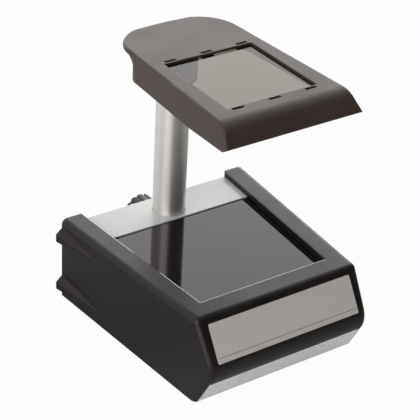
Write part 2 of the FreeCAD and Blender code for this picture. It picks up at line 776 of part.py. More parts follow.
LAMP_Y = REAR - s.lamp_ahead
FLOOR_Z = PAN_Z + 33


def reflector():
    """A white trough on two legs, under the diffuser."""
    body = new_body("Reflector")
    thin = s.reflector_sheet
    top, floor = s.reflector_depth / 2, s.reflector_floor / 2
    brim_z = SKIRT_Z - s.fit_gap
    trough = sketch(body, "reflector_side", "YZ_Plane")
    outline(trough, [(LAMP_Y - top, brim_z), (LAMP_Y - floor, FLOOR_Z), (LAMP_Y + floor, FLOOR_Z),
                     (LAMP_Y + top, brim_z), (LAMP_Y + top + thin, brim_z), (LAMP_Y + floor + thin, FLOOR_Z - thin),
                     (LAMP_Y - floor - thin, FLOOR_Z - thin), (LAMP_Y - top - thin, brim_z)])
    pad(body, trough, s.reflector_width, both=True)
    legs = sketch(body, "reflector_legs", "YZ_Plane")
    for side in (1, -1):
        y = LAMP_Y + floor * side
        outline(legs, [(y - thin, PAN_FLOOR), (y + thin, PAN_FLOOR), (y + thin, FLOOR_Z - thin / 2),
                       (y - thin, FLOOR_Z - thin / 2)])
    pad(body, legs, s.reflector_width / 2, both=True)
    return node(body, "reflector")


def lamp():
    z = FLOOR_Z + s.lamp_over_floor
    glass_half = s.lamp_length / 2 - s.lamp_cap
    tube = cylinder("lamp_glass", s.lamp_radius, glass_half * 2, (-glass_half, LAMP_Y, z), "right")
    node(tube, "lamp_tube")
    caps, holders = [], []
    for side, toward in ((1, "right"), (-1, "left")):
        tag = toward
        inner = (glass_half * side, LAMP_Y, z)
        cap = [cylinder("cap_" + tag, s.lamp_radius + 0.3, s.lamp_cap, inner, toward)]
        end_x = s.lamp_length / 2
        for shift in (1, -1):
            y = LAMP_Y + s.pin_pitch / 2 * shift
            cap.append(cylinder("pin_%s_%d" % (tag, shift + 1), s.pin_radius, s.lamp_pin, (end_x * side, y, z),
                                toward))
        caps.append(fuse("lamp_cap_" + tag, cap))
        start = end_x + s.fit_gap
        low_x = start if side > 0 else -start - s.holder_thick
        block = box("holder_block_" + tag, s.holder_thick, s.holder_width, s.lamp_over_floor + 10,
                    (low_x, LAMP_Y - s.holder_width / 2, FLOOR_Z))
        slots = [cylinder("holder_hole_%s_%d" % (tag, shift + 1), s.pin_radius + 0.1, s.lamp_pin + 1,
                          ((end_x - 0.5) * side, LAMP_Y + s.pin_pitch / 2 * shift, z), toward)
                 for shift in (1, -1)]
        holders.append(cut("lamp_holder_" + tag, block, slots))
    node(group("lamp_cap_pair", caps), "lamp_caps")
    node(group("lamp_holder_pair", holders), "lamp_holders")


def ballast():
    """A laminated choke with a foot at each end, on the pan."""
    x, y, foot_t = -s.ballast_left, LAMP_Y, s.bracket_sheet
    long, wide = s.ballast_length, s.ballast_width
    core = centred_box("ballast_core", long * 0.72, wide, s.ballast_height - 3, x, y, PAN_FLOOR)
    foot = centred_box("ballast_foot", long, wide * 0.75, foot_t, x, y, PAN_FLOOR)
    coil = centred_box("ballast_coil", long / 2, wide * 0.6, s.ballast_height, x, y, PAN_FLOOR)
    spots = [(x + long * 0.44 * side, y) for side in (1, -1)]
    holes = [cylinder("ballast_hole_%d" % index, s.small_screw + s.slide_gap, foot_t * 3,
                      (spot_x, spot_y, PAN_FLOOR - foot_t))
             for index, (spot_x, spot_y) in enumerate(spots)]
    node(cut("ballast_body", fuse("ballast_iron", [core, foot, coil]), holes), "ballast")
    screws("ballast_screws", [(spot_x, spot_y, PAN_FLOOR + foot_t) for spot_x, spot_y in spots], "up",
           foot_t - 0.1)


def starter():
    x, y, high = s.starter_right, LAMP_Y - s.starter_radius, PAN_FLOOR + s.starter_radius + 2.5
    can = cylinder("starter_can", s.starter_radius, s.starter_length, (x, y, high), "right")
    node(can, "lamp_starter")
    thick = s.holder_thick
    base = centred_box("starter_block", thick, s.starter_radius * 2.5, s.starter_radius * 2.4,
                       x + s.starter_length + thick / 2 + 0.1, y, PAN_FLOOR)
    node(base, "starter_holder")


def terminal_block():
    x, y, step = s.terminal_right, LAMP_Y + s.ballast_width / 2, s.terminal_pitch
    long, tall = s.terminal_length, s.terminal_height
    strip = centred_box("terminal_strip", long, tall, tall / 2, x, y, PAN_FLOOR)
    tower = centred_box("terminal_tower", long, tall / 2, tall, x, y, PAN_FLOOR)
    sunk = PAN_FLOOR + tall * 0.7
    wells, made = [], []
    for index in range(5):
        at = (x + (index - 2) * step, y, sunk)
        wells.append(cylinder("terminal_well_%d" % index, step * 0.27, tall, at))
        made.append(cylinder("terminal_screw_%d" % index, step * 0.25, tall * 0.16, at))
    node(cut("terminal_body", fuse("terminal_solid", [strip, tower]), wells), "terminal_block")
    node(group("terminal_screw_set", made), "terminal_screws")


def earth_stud():
    x, y = size(-70), REAR - 30
    plate = cylinder("earth_nut", 4.2, 3, (x, y, PAN_FLOOR + 1))
    washer = cylinder("earth_washer", 5.5, 1, (x, y, PAN_FLOOR))
    post = cylinder("earth_post", 2.0, 9, (x, y, PAN_FLOOR))
    node(fuse("earth_solid", [plate, washer, post]), "earth_stud")


# ---- rear panel fittings ----

def mains_inlet():
    x, z = -s.fitting_spread, FITTING_Z
    flange = centred_box("inlet_flange_box", s.inlet_flange, s.inlet_lip, s.inlet_height + 2.4, x,
                         PANEL_Y + s.inlet_lip / 2, z - s.inlet_height / 2 - 1.2)
    barrel = box("inlet_barrel", s.inlet_width, s.inlet_depth + s.panel_thick + 0.5, s.inlet_height,
                 (x - s.inlet_width / 2, PANEL_IN - s.inlet_depth, z - s.inlet_height / 2))
    wall = s.inlet_wall
    well = box("inlet_well", s.inlet_width - 2 * wall, s.inlet_depth + 20, s.inlet_height - 2 * wall,
               (x - s.inlet_width / 2 + wall, PANEL_IN - s.inlet_depth + 3, z - s.inlet_height / 2 + wall))
    holes = [cylinder("inlet_hole_%d" % index, s.small_screw + s.slide_gap, 8, (spot_x, PANEL_Y - 2, spot_z),
                      "rear")
             for index, (spot_x, spot_z) in enumerate(inlet_screw_spots())]
    node(cut("inlet_body", fuse("inlet_solid", [flange, barrel]), [well] + holes), "mains_inlet")
    pins = []
    for index, (shift, rise) in enumerate(((-7, 1), (7, 1), (0, 5))):
        pins.append(box("inlet_pin_%d" % index, 2, s.inlet_depth - 2, 3.6,
                        (x + shift - 1, PANEL_IN - s.inlet_depth + 3, z + rise - 1.8)))
    node(group("inlet_pin_set", pins), "inlet_pins")
    screws("inlet_screws", [(spot_x, PANEL_Y + s.inlet_lip, spot_z) for spot_x, spot_z in inlet_screw_spots()],
           "rear", 6)


def power_switch():
    x, z = s.fitting_spread, FITTING_Z
    bezel = centred_box("switch_bezel", s.switch_width, s.bezel_thick, s.switch_height, x,
                        PANEL_Y + s.bezel_thick / 2, z - s.switch_height / 2)
    inner_w, inner_h = s.switch_width - 2.6, s.switch_height - 2.6
    barrel = box("switch_barrel", inner_w, s.switch_depth + s.panel_thick + 0.5, inner_h,
                 (x - inner_w / 2, PANEL_IN - s.switch_depth, z - inner_h / 2))
    well_w, well_h = inner_w - 2, inner_h - 1.4
    well = box("switch_well", well_w, 30, well_h, (x - well_w / 2, PANEL_Y - 8, z - well_h / 2))
    pivot = (x, PANEL_Y, z)
    pin_r = s.rocker_pin
    socket = cylinder("switch_socket", pin_r + s.slide_gap, inner_w + 0.4, (x - inner_w / 2 - 0.2, PANEL_Y, z), "right")
    node(cut("switch_solid", fuse("switch_shape", [bezel, barrel]), [well, socket]), "power_switch")

    # the rocker is drawn level about its pivot, then tipped to its rest
    body = new_body("Rocker")
    half = well_h / 2 - 0.55
    profile = sketch(body, "rocker_side", "YZ_Plane")
    outline(profile, [(3.4, -half), (2.0, 0), (3.4, half), (-1.5, half), (-6.5, 2.2), (-6.5, -2.2), (-1.5, -half)])
    pad(body, profile, well_w - 2 * s.fit_gap, both=True)
    pad(body, ring(sketch(body, "rocker_pin_round", "YZ_Plane"), 0, 0, pin_r), inner_w - 0.2, both=True)
    base = FreeCAD.Vector(*[value.number for value in pivot])
    body.Placement = FreeCAD.Placement(base, FreeCAD.Rotation(FreeCAD.Vector(1, 0, 0), s.rocker_tilt.number))
    for letter, value in zip("xyz", pivot):
        bind(body, "Placement.Base.%s" % letter, value)
    bind(body, "Placement.Rotation.Angle", s.rocker_tilt)
    node(body, "switch_rocker")


# ---- column and clamp ----

def column_socket():
    foot = centred_box("socket_foot", s.flange_width, s.flange_depth, s.socket_flange, size(0), COLUMN_Y, PAN_FLOOR)
    post = cylinder("socket_post", s.socket_radius, s.socket_height, (0, COLUMN_Y, PAN_FLOOR))
    bush = cylinder("socket_bush", s.bush_radius, s.column_inset + s.bush_reach, (0, COLUMN_Y, CLAMP_Z), "rear")
    bore = cylinder("socket_bore", s.column_radius + s.slide_gap, s.socket_height,
                    (0, COLUMN_Y, PAN_FLOOR + s.column_floor - s.fit_gap))
    thread = cylinder("socket_thread", s.screw_radius + s.slide_gap, s.column_inset + s.bush_reach + 2,
                      (0, COLUMN_Y, CLAMP_Z), "rear")
    holes = [cylinder("socket_hole_%d" % index, s.small_screw + s.slide_gap, s.socket_flange + 2,
                      (x, y, PAN_FLOOR - 1))
             for index, (x, y) in enumerate(socket_spots())]
    solid = fuse("socket_solid", [foot, post, bush])
    node(cut("socket_body", solid, [bore, thread] + holes), "column_socket")
    screws("socket_screws", [(x, y, PAN_FLOOR + s.socket_flange) for x, y in socket_spots()], "up", 5.5)


def column():
    low = PAN_FLOOR + s.column_floor
    high = HEAD_Z - s.boss_roof - s.fit_gap
    outer = cylinder("column_outer", s.column_radius, high - low, (0, COLUMN_Y, low))
    inner = cylinder("column_inner", s.column_radius - s.column_wall, high - low + 2, (0, COLUMN_Y, low - 1))
    node(cut("column_solid", outer, [inner]), "column_tube")
    plug_r = s.column_radius - s.column_wall
    plugs = [cylinder("plug_low", plug_r, 6, (0, COLUMN_Y, low)),
             cylinder("plug_high", plug_r, 6, (0, COLUMN_Y, high - 6))]
    node(group("column_plug_pair", plugs), "column_plugs")


def clamp():
    pad_y = COLUMN_Y + s.column_radius + s.fit_gap
    node(cylinder("pad_disc", s.screw_radius, s.pad_thick, (0, pad_y, CLAMP_Z), "rear"), "clamp_pad")
    screw_y = pad_y + s.pad_thick
    face_y = REAR + s.knob_gap
    buried = 10
    node(cylinder("screw_rod", s.screw_radius, face_y + buried - screw_y, (0, screw_y, CLAMP_Z), "rear"),
         "clamp_screw")

    body = new_body("Knob")
    face = sketch(body, "knob_face", "XZ_Plane", -face_y)
    ring(face, 0, CLAMP_Z, s.knob_radius)
    pad(body, face, s.knob_thick, down=True)
    neck = sketch(body, "knob_neck", "XZ_Plane", -face_y)
    ring(neck, 0, CLAMP_Z, s.neck_radius)
    pad(body, neck, s.neck_length)
    flutes = sketch(body, "knob_flutes", "XZ_Plane", -face_y + s.neck_length * 2)
    count = round(s.flute_count.number)
    for index in range(count):
        angle = math.radians(360.0 * (index + 0.5) / count)
        reach = s.knob_radius + s.flute_radius * 0.45
        ring(flutes, reach * math.cos(angle), CLAMP_Z + reach * math.sin(angle), s.flute_radius)
    pocket(body, flutes, s.knob_thick * 3)
    rim = [face_y.number, (face_y + s.knob_thick).number]
    fillet(body, 0.9, lambda edge: any(all(abs(p.y - y) < 0.01 for p in ends(edge)) for y in rim)
           and edge.CenterOfMass.distanceToPoint(FreeCAD.Vector(0, edge.CenterOfMass.y, CLAMP_Z.number)) > 9
           and all(p.distanceToPoint(FreeCAD.Vector(0, p.y, CLAMP_Z.number)) > s.neck_radius.number + 1
                   for p in ends(edge)))
    hole = sketch(body, "knob_bore", "XZ_Plane", -face_y + s.neck_length)
    ring(hole, 0, CLAMP_Z, s.screw_radius + s.slide_gap)
    pocket(body, hole, s.neck_length + buried + s.fit_gap)
    seat = sketch(body, "knob_seat", "XZ_Plane", -face_y - s.knob_thick)
    ring(seat, 0, CLAMP_Z, 8 + s.slide_gap)
    pocket(body, seat, 1.2, up=True)
    node(body, "clamp_knob")
    node(cylinder("cap_disc", 8, 1.5, (0, face_y + s.knob_thick - 1.2, CLAMP_Z), "rear"), "knob_cap")


# ---- the head ----

def head_half(v):
    """Half the width of the head's top, v behind the column axis."""
    return s.head_width / 2 - (v + s.window_rear) * s.head_taper


def head_outline(body, name, depth, sweep, front=None, inset=0.0):
    """The head's plan at a depth below its top; sweep runs from 0 for the top to 1 for the skirt's foot."""
    sk = sketch(body, name, height=HEAD_Z - depth)
    flare = size(depth) * s.skirt_flare / s.skirt_drop - inset
    front = -s.head_front - 12 if front is None else front

    def between(top, foot):
        return size(top) * (1 - sweep) + size(foot) * sweep

    end_v = between(-s.side_end, -s.skirt_end)
    full = (between(s.corner_out, s.skirt_corner_out) - 0.85 * inset,
            COLUMN_Y + between(s.corner_back, -s.skirt_corner_ahead) - 0.53 * inset)
    rear = (between(s.rear_out, s.skirt_rear_out) - 0.45 * inset,
            COLUMN_Y + between(s.rear_back, -s.skirt_rear_ahead) - 0.9 * inset)
    middle = (size(0), COLUMN_Y + between(s.head_rear, s.skirt_rear) - inset)
    front_x = head_half(front) + flare + size(depth) * s.skirt_splay / s.skirt_drop
    end_x = head_half(end_v) + flare
    front_y, end_y = COLUMN_Y + front, COLUMN_Y + end_v
    return curved_outline(sk, [(-front_x, front_y, None), (front_x, front_y, None),
                               (end_x, end_y, full), (rear[0], rear[1], middle),
                               (-rear[0], rear[1], (-full[0], full[1])), (-end_x, end_y, None)])


def hook_rows():
    """For each row of hooks: its side of the window (1 behind, -1 ahead) and the edge it holds."""
    return ((1, COLUMN_Y - s.window_rear), (-1, COLUMN_Y - s.window_front))


def head_shell():
    body = new_body("HeadShell")
    far, drop = s.head_front + 12, s.skirt_drop
    levels = [head_outline(body, "head_top", 0, 0)]
    steps = 8
    for index in range(steps + 1):
        angle = math.pi / 2 * index / steps
        depth = s.lip_thick + (s.sweep_foot - s.lip_thick) * (1 - math.cos(angle))
        levels.append(head_outline(body, "head_sweep_%d" % index, depth, math.sin(angle)))
    levels.append(head_outline(body, "head_foot", drop + 1, 1))
    loft(body, levels)

    # the brow: a slope ahead of the bend, and a foot that rises to the lip
    lip_v, lip_z = -s.head_front, HEAD_Z - s.brow_drop
    clear_y, clear_z = COLUMN_Y - far - 10, HEAD_Z - drop - 10
    brow = outline(sketch(body, "head_brow", "YZ_Plane"),
                   [(COLUMN_Y - s.brow_bend, HEAD_Z), (COLUMN_Y + lip_v, lip_z),
                    (COLUMN_Y + lip_v + 0.6, lip_z - 1), (COLUMN_Y + lip_v + s.toe_back, HEAD_Z - s.toe_drop),
                    (COLUMN_Y - s.belly_start, HEAD_Z - drop), (COLUMN_Y + 60, HEAD_Z - drop),
                    (COLUMN_Y + 60, clear_z), (clear_y, clear_z), (clear_y, HEAD_Z + 10),
                    (COLUMN_Y - s.brow_bend, HEAD_Z + 10)])
    pocket(body, brow, s.head_width * 2, both=True)
    bend_y = (COLUMN_Y - s.brow_bend).number
    fillet(body, s.brow_round, lambda edge: edge_along(edge, "x", 50)
           and all(abs(point.y - bend_y) < 0.02 and near(point.z, HEAD_Z) for point in ends(edge)))

    slope = (s.head_front - s.brow_bend) / s.brow_drop
    wall = s.head_wall
    inner = []
    for depth, set_back in ((s.top_wall, 2.4), (drop + 3, 1.3)):
        front_v = wall * set_back - s.brow_bend - depth * slope
        inner.append(head_outline(body, "cavity_%d" % len(inner), depth, 1, front_v, wall))
    loft(body, inner, subtract=True)

    # top edge rounded all round, then the window, the slots over the hooks and the hooks
    fillet(body, s.head_edge, lambda edge: all(near(point.z, HEAD_Z, 0.02) for point in ends(edge))
           and near(edge.CenterOfMass.z, HEAD_Z, 0.02) and not edge_along(edge, "x", 90))
    middle_v = COLUMN_Y - (s.window_rear + s.window_front) / 2
    length = s.window_front - s.window_rear
    window = oblong(sketch(body, "head_window", height=HEAD_Z), size(0), middle_v, s.window_width, length)
    pocket(body, window, s.top_wall * 1.5)
    slots = sketch(body, "head_slots", height=HEAD_Z)
    for side, edge_y in hook_rows():
        for place_x in (-1, 0, 1):
            oblong(slots, s.slot_pitch * place_x, edge_y + (s.slot_gap + s.slot_width / 2) * side, s.slot_length,
                   s.slot_width)
    pocket(body, slots, s.top_wall * 1.5)
    posts = sketch(body, "hook_posts", height=HEAD_Z - s.top_wall * 0.5)
    noses = sketch(body, "hook_noses", height=HEAD_Z - s.top_wall - s.film_thick - 0.1)
    post_t = s.hook_thick
    for side, edge_y in hook_rows():
        root_y = edge_y + (s.slot_gap + s.slot_width) * side
        tip = 0.9 if side > 0 else -0.4
        for place_x in (-1, 0, 1):
            x = s.slot_pitch * place_x
            left, right = x - s.slot_length / 2, x + s.slot_length / 2
            outline(posts, [(left, root_y), (right, root_y), (right, root_y + post_t * side),
                            (left, root_y + post_t * side)])
            outline(noses, [(left, root_y + post_t * side), (right, root_y + post_t * side),
                            (right, edge_y - tip * side), (left, edge_y - tip * side)])
    pad(body, posts, s.top_wall * 0.5 + s.film_thick + 0.1 + s.hook_thick, down=True)
    pad(body, noses, s.hook_thick, down=True)

    # the boss that takes the column, closed above
    boss = ring(sketch(body, "head_boss", height=HEAD_Z - s.top_wall / 2), 0, COLUMN_Y, s.boss_outer)
    pad(body, boss, s.boss_drop - s.top_wall / 2, down=True)
    bore = ring(sketch(body, "head_bore", height=HEAD_Z - s.boss_drop), 0, COLUMN_Y,
                s.column_radius + s.slide_gap)
    pocket(body, bore, s.boss_drop - s.boss_roof, up=True)
    hole = sketch(body, "head_screw_hole", "XZ_Plane", -COLUMN_Y - s.boss_outer - 1)
    ring(hole, 0, HEAD_Z - s.boss_drop + 8, 2 + s.slide_gap)
    pocket(body, hole, s.boss_outer - s.column_radius + 3, up=True)
    return node(body, "head_shell")


def head_fittings():
    lap, top = s.film_lap, HEAD_Z - s.top_wall
    front_y = COLUMN_Y - s.window_front - lap + 0.3
    rear_y = COLUMN_Y - s.window_rear + lap
    film_half = s.window_width / 2 + s.film_side
    film = box("film_sheet", film_half * 2, rear_y - front_y, s.film_thick,
               (-film_half, front_y, top - s.film_thick))
    node(film, "analyser_film")
    start = COLUMN_Y + s.column_radius + s.fit_gap
    shank = cylinder("head_screw_shank", 2, s.boss_outer - s.column_radius, (0, start, HEAD_Z - s.boss_drop + 8),
                     "rear")
    top_y = COLUMN_Y + s.boss_outer + s.fit_gap
    cap = cylinder("head_screw_cap", 3.6, 2.6, (0, top_y, HEAD_Z - s.boss_drop + 8), "rear")
    node(fuse("head_screw_solid", [shank, cap]), "head_screw")


# ---- front plate and feet ----

def label_plate():
    body = new_body("LabelPlate")
    plan = oblong(sketch(body, "label_plan"), size(0), size(0), s.label_width, s.label_height)
    pad(body, plan, s.label_thick)
    fillet(body, s.label_corner, lambda edge: edge_along(edge, "z", 0.3))
    rise = s.case_height - s.chin_height
    slope = root(s.front_rake * s.front_rake + rise * rise)
    at = (size(0), FRONT + s.label_rise * s.front_rake / slope, CHIN_Z + s.label_rise * rise / slope)
    angle = math.degrees(math.atan2(rise.number, s.front_rake.number))
    base = FreeCAD.Vector(*[value.number for value in at])
    body.Placement = FreeCAD.Placement(base, FreeCAD.Rotation(FreeCAD.Vector(1, 0, 0), angle))
    for letter, value in zip("xyz", at):
        bind(body, "Placement.Base.%s" % letter, value)
    body.setExpression("Placement.Rotation.Angle", "atan2(%s; %s)" % (rise.formula, s.front_rake.formula))
    node(body, "label_plate")


def feet():
    made = []
    for index, (x, y) in enumerate(foot_spots()):
        foot = cone("foot_%d" % index, s.foot_radius - 1, s.foot_radius, s.foot_height, (x, y, 0))
        well = cylinder("foot_well_%d" % index, 3.2, 1.8, (x, y, -0.2))
        hole = cylinder("foot_hole_%d" % index, s.small_screw + s.slide_gap, 5, (x, y, -1))
        made.append(cut("foot_solid_%d" % index, foot, [well, hole]))
    node(group("foot_set", made), "rubber_feet")
    screws("foot_screws", [(x, y, 1.6) for x, y in foot_spots()], "down", s.foot_screw_long, head=size(2.8), rise=size(1.2))
    screws("case_screws", [(x, y, PAN_Z) for x, y in case_boss_spots()], "down", s.case_screw_long, rise=size(1.4))


base_case()
chassis_pan()
deck_plate()
pane("PolariserGlass", "polariser_glass", GLASS_Z, s.glass_thick)
pane("OpalDiffuser", "opal_diffuser", OPAL_Z, s.opal_thick)
rear_panel()
panel_brackets()
screws("panel_screws", [(x, PANEL_Y, z) for x, z in panel_screw_spots()], "rear", 5)
reflector()
lamp()
ballast()
starter()
terminal_block()
earth_stud()
mains_inlet()
power_switch()
column_socket()
column()
clamp()
head_shell()
head_fittings()
label_plate()
feet()

doc.recompute()
for thing in doc.Objects:
    if "Invalid" in thing.State or "Error" in thing.State:
        raise RuntimeError("%s (%s) did not build: %s" % (thing.Name, thing.Label, thing.State))
for label, thing in nodes.items():
    if thing.Shape.isNull() or not thing.Shape.isValid():
        raise RuntimeError("%s has no valid shape" % label)

os.makedirs("parts", exist_ok=True)
for label, thing in nodes.items():
    thing.Shape.exportStep("parts/%s.step" % label)
    bounds = thing.Shape.BoundBox
    print("%-18s %2d solids  %9.1f mm3  x %.1f..%.1f  y %.1f..%.1f  z %.1f..%.1f" % (
        label, len(thing.Shape.Solids), thing.Shape.Volume, bounds.XMin, bounds.XMax, bounds.YMin, bounds.YMax,
        bounds.ZMin, bounds.ZMax))
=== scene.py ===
# %% [markdown]
# # A polarised-light lens strain tester
#
# An optician holds a pair of glasses between two crossed polarisers to see the strain in the
# lenses. The lower one is a dark glass in a light box, the upper one a film in a hooded head on a
# tube column.
#
# The solids of every piece are already there, as the frame. This lesson gives each its finish,
# swaps the plain fasteners for detailed ones, and sets up a small white studio.

import json
import math

import bmesh
import bpy
from mathutils import Matrix, Vector


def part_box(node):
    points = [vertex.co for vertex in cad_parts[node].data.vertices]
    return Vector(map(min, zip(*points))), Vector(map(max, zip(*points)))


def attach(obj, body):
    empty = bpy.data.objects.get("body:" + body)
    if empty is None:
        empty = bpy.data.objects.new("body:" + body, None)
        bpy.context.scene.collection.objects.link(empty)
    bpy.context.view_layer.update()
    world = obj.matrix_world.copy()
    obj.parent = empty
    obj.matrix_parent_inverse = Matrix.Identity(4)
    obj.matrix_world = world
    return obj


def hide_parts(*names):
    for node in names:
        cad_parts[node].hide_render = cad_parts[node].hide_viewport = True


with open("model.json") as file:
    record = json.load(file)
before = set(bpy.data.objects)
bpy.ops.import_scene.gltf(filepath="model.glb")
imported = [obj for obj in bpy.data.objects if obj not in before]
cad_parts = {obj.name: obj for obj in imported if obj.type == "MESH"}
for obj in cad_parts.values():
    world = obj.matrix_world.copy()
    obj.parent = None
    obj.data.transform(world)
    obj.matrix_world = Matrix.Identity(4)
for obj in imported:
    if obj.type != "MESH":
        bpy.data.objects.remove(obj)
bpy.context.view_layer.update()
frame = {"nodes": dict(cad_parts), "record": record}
nodes = frame["nodes"]

# %% [markdown]
# ## Camera
# The camera stands in front at the left and above, about 1.4 m away, with a long lens, so the sides
# of the case hardly converge. An azimuth, an elevation and a small roll say where the camera looks.
# The focal length follows from the height of the object in the frame, and the shift from the pixel
# that the lens's axis meets. A Track To constraint could aim it, but a matrix from three angles is
# plain to read and gives the same view every time.

# %% Set up the camera
MM = 0.001  # metres
SENSOR = 36.0  # mm
IMAGE = 420.0  # pixels, as are the next three
FOCAL_PIXELS = 1557.08
AXIS_ACROSS, AXIS_DOWN = 203.69, 208.22
FARTHEST = 20  # metres
CAMERA_AT = (-690.58 * MM, -937.42 * MM, 808.70 * MM)
AZIMUTH, ELEVATION, ROLL = -35.93, 30.82, 3.11


def turn(degrees, axis):
    return Matrix.Rotation(math.radians(degrees), 4, axis)


lens = bpy.data.cameras.new("long lens")
lens.sensor_width = SENSOR
lens.lens = SENSOR * FOCAL_PIXELS / IMAGE
lens.shift_x = (IMAGE / 2 - AXIS_ACROSS) / IMAGE
lens.shift_y = (AXIS_DOWN - IMAGE / 2) / IMAGE
lens.clip_end = FARTHEST
camera = bpy.data.objects.new("camera", lens)
camera.matrix_world = (Matrix.Translation(CAMERA_AT) @ turn(AZIMUTH, "Z") @ turn(90 - ELEVATION, "X")
                       @ turn(ROLL, "Z"))
bpy.context.collection.objects.link(camera)
bpy.context.scene.camera = camera
print("camera with a lens of", round(lens.lens, 1), "mm")

# %% [markdown]
# ## Studio
# The floor and the background are white to the camera and through the film. What metal, glass and
# plastic mirror is graded instead, as in a room with a window at the left. The world is brightest
# behind the object at the left and dim behind the camera, so the dark faces toward the camera stay
# dark. The floor is brightest at the left, with a shade beside the case, so the column gets bright
# and dark bands and the case's left side stays black. A picture of a real room could do this too,
# but a few numbers need no file and can be tuned one by one.
#
# There are three soft lamps. The widest stands behind the object, and its reflection lies on the
# upward faces and in the dark glass. One at the left lights the label and the front. A low strip
# behind the object draws the fine line in polished edges that are seen at a glancing angle.

# %% A colour and a node
def linear(hex_colour):
    """An sRGB hex colour as linear red, green, blue and a full alpha."""
    parts = [int(hex_colour[i:i + 2], 16) / 255 for i in (1, 3, 5)]
    return [c / 12.92 if c <= 0.04045 else ((c + 0.055) / 1.055) ** 2.4 for c in parts] + [1.0]


def add(tree, kind, inputs=None, **settings):
    """Adds one node. Each input is a value, or the output socket that feeds it."""
    made = tree.nodes.new(kind)
    for key, value in settings.items():
        setattr(made, key, value)
    for key, value in (inputs or {}).items():
        if isinstance(value, bpy.types.NodeSocket):
            tree.links.new(value, made.inputs[key])
        else:
            made.inputs[key].default_value = value
    return made


def seen_directly(tree):
    """The light path, and a socket that is 1 for rays from the camera, also through clear things."""
    path = add(tree, "ShaderNodeLightPath")
    through = add(tree, "ShaderNodeMath", {0: path.outputs["Is Camera Ray"],
                                           1: path.outputs["Is Transmission Ray"]}, operation="MAXIMUM")
    return path, through.outputs[0]


WHITE = linear("#ffffff")
print("the linear value of a middle grey is", round(linear("#808080")[0], 3))

# %% The world
# The way to the brightest white, and how well a ray agrees with it where the white is dim and full.
BRIGHT_WAY = (-0.58, 0.71, 0.40)
DIM_BELOW, BRIGHT_ABOVE = -0.45, 0.25
# The share of the white that lights rough surfaces, and the share that is left on the dim side.
WORLD_LIGHT, ROOM_LIGHT = 0.45, 0.10

world = bpy.data.worlds.new("white studio")
bpy.context.scene.world = world
world.use_nodes = True
tree = world.node_tree
tree.nodes.clear()
path, direct = seen_directly(tree)
outward = add(tree, "ShaderNodeTexCoord").outputs["Generated"]
heading = add(tree, "ShaderNodeVectorMath", {0: outward, 1: BRIGHT_WAY}, operation="DOT_PRODUCT")
bright_side = add(tree, "ShaderNodeMapRange", {"Value": heading.outputs["Value"], "From Min": DIM_BELOW,
                                               "From Max": BRIGHT_ABOVE, "To Min": ROOM_LIGHT},
                  interpolation_type="SMOOTHSTEP")
share = add(tree, "ShaderNodeMapRange", {"Value": path.outputs["Is Glossy Ray"], "To Min": WORLD_LIGHT})
around = add(tree, "ShaderNodeMath", {0: bright_side.outputs[0], 1: share.outputs[0]},
             operation="MULTIPLY")
strength = add(tree, "ShaderNodeMath", {0: around.outputs[0], 1: direct}, operation="MAXIMUM")
sky = add(tree, "ShaderNodeBackground", {"Color": WHITE, "Strength": strength.outputs[0]})
add(tree, "ShaderNodeOutputWorld", {"Surface": sky.outputs[0]})
print("world of", len(tree.nodes), "nodes")

# %% The white paper
# The mirrored floor fades from left to right, between two distances along LEFT_WAY.
FLOOR_LEFT, FLOOR_RIGHT = 0.84, 0.36
LEFT_WAY = (-0.95, 0.31, 0.0)
FADE_FROM, FADE_TO = -0.18, 0.36
# The shade beside the case, the share that it leaves, and how far from its middle it begins to end.
SHADE_AT = (-0.19, 0.05, 0.0)
SHADE_SHARE = 0.45
SHADE_FROM, SHADE_TO = 0.10, 0.20
# The share of the floor that shows real light and so the object's shadow.
FLOOR_SHADOW = 0.04

paper = bpy.data.materials.new("white background paper")
paper.use_nodes = True
tree = paper.node_tree
tree.nodes.clear()
path, direct = seen_directly(tree)
shade = add(tree, "ShaderNodeBsdfDiffuse", {"Color": linear("#fbfbfa")})
spot = add(tree, "ShaderNodeTexCoord").outputs["Object"]
leftward = add(tree, "ShaderNodeVectorMath", {0: spot, 1: LEFT_WAY}, operation="DOT_PRODUCT")
graded = add(tree, "ShaderNodeMapRange", {"Value": leftward.outputs["Value"], "From Min": FADE_FROM,
                                          "From Max": FADE_TO, "To Min": FLOOR_RIGHT, "To Max": FLOOR_LEFT})
distance = add(tree, "ShaderNodeVectorMath", {0: spot, 1: SHADE_AT}, operation="DISTANCE")
opened = add(tree, "ShaderNodeMapRange", {"Value": distance.outputs["Value"], "From Min": SHADE_FROM,
                                          "From Max": SHADE_TO, "To Min": SHADE_SHARE})
falloff = add(tree, "ShaderNodeMath", {0: graded.outputs[0], 1: opened.outputs[0]}, operation="MULTIPLY")
mirrored = add(tree, "ShaderNodeMath", {0: path.outputs["Is Glossy Ray"], 1: falloff.outputs[0]},
               operation="MULTIPLY")
level = add(tree, "ShaderNodeMath", {0: mirrored.outputs[0], 1: direct}, operation="MAXIMUM")
glow = add(tree, "ShaderNodeEmission", {"Color": WHITE, "Strength": level.outputs[0]})
seen = add(tree, "ShaderNodeMath", {0: path.outputs["Is Glossy Ray"], 1: direct}, operation="MAXIMUM")
clear = add(tree, "ShaderNodeMath", {0: seen.outputs[0], 1: 1 - FLOOR_SHADOW}, operation="MULTIPLY")
both = add(tree, "ShaderNodeMixShader", {0: clear.outputs[0], 1: shade.outputs[0], 2: glow.outputs[0]})
add(tree, "ShaderNodeOutputMaterial", {"Surface": both.outputs[0]})
print(paper.name, "of", len(tree.nodes), "nodes")

# %% The floor
FLOOR_HALF = 4.0  # metres

floor_mesh = bmesh.new()
bmesh.ops.create_grid(floor_mesh, x_segments=1, y_segments=1, size=FLOOR_HALF)
floor_data = bpy.data.meshes.new("floor")
floor_mesh.to_mesh(floor_data)
floor_mesh.free()
floor_data.materials.append(paper)
floor = bpy.data.objects.new("floor", floor_data)
bpy.context.collection.objects.link(floor)
print("floor of", 2 * FLOOR_HALF, "m")


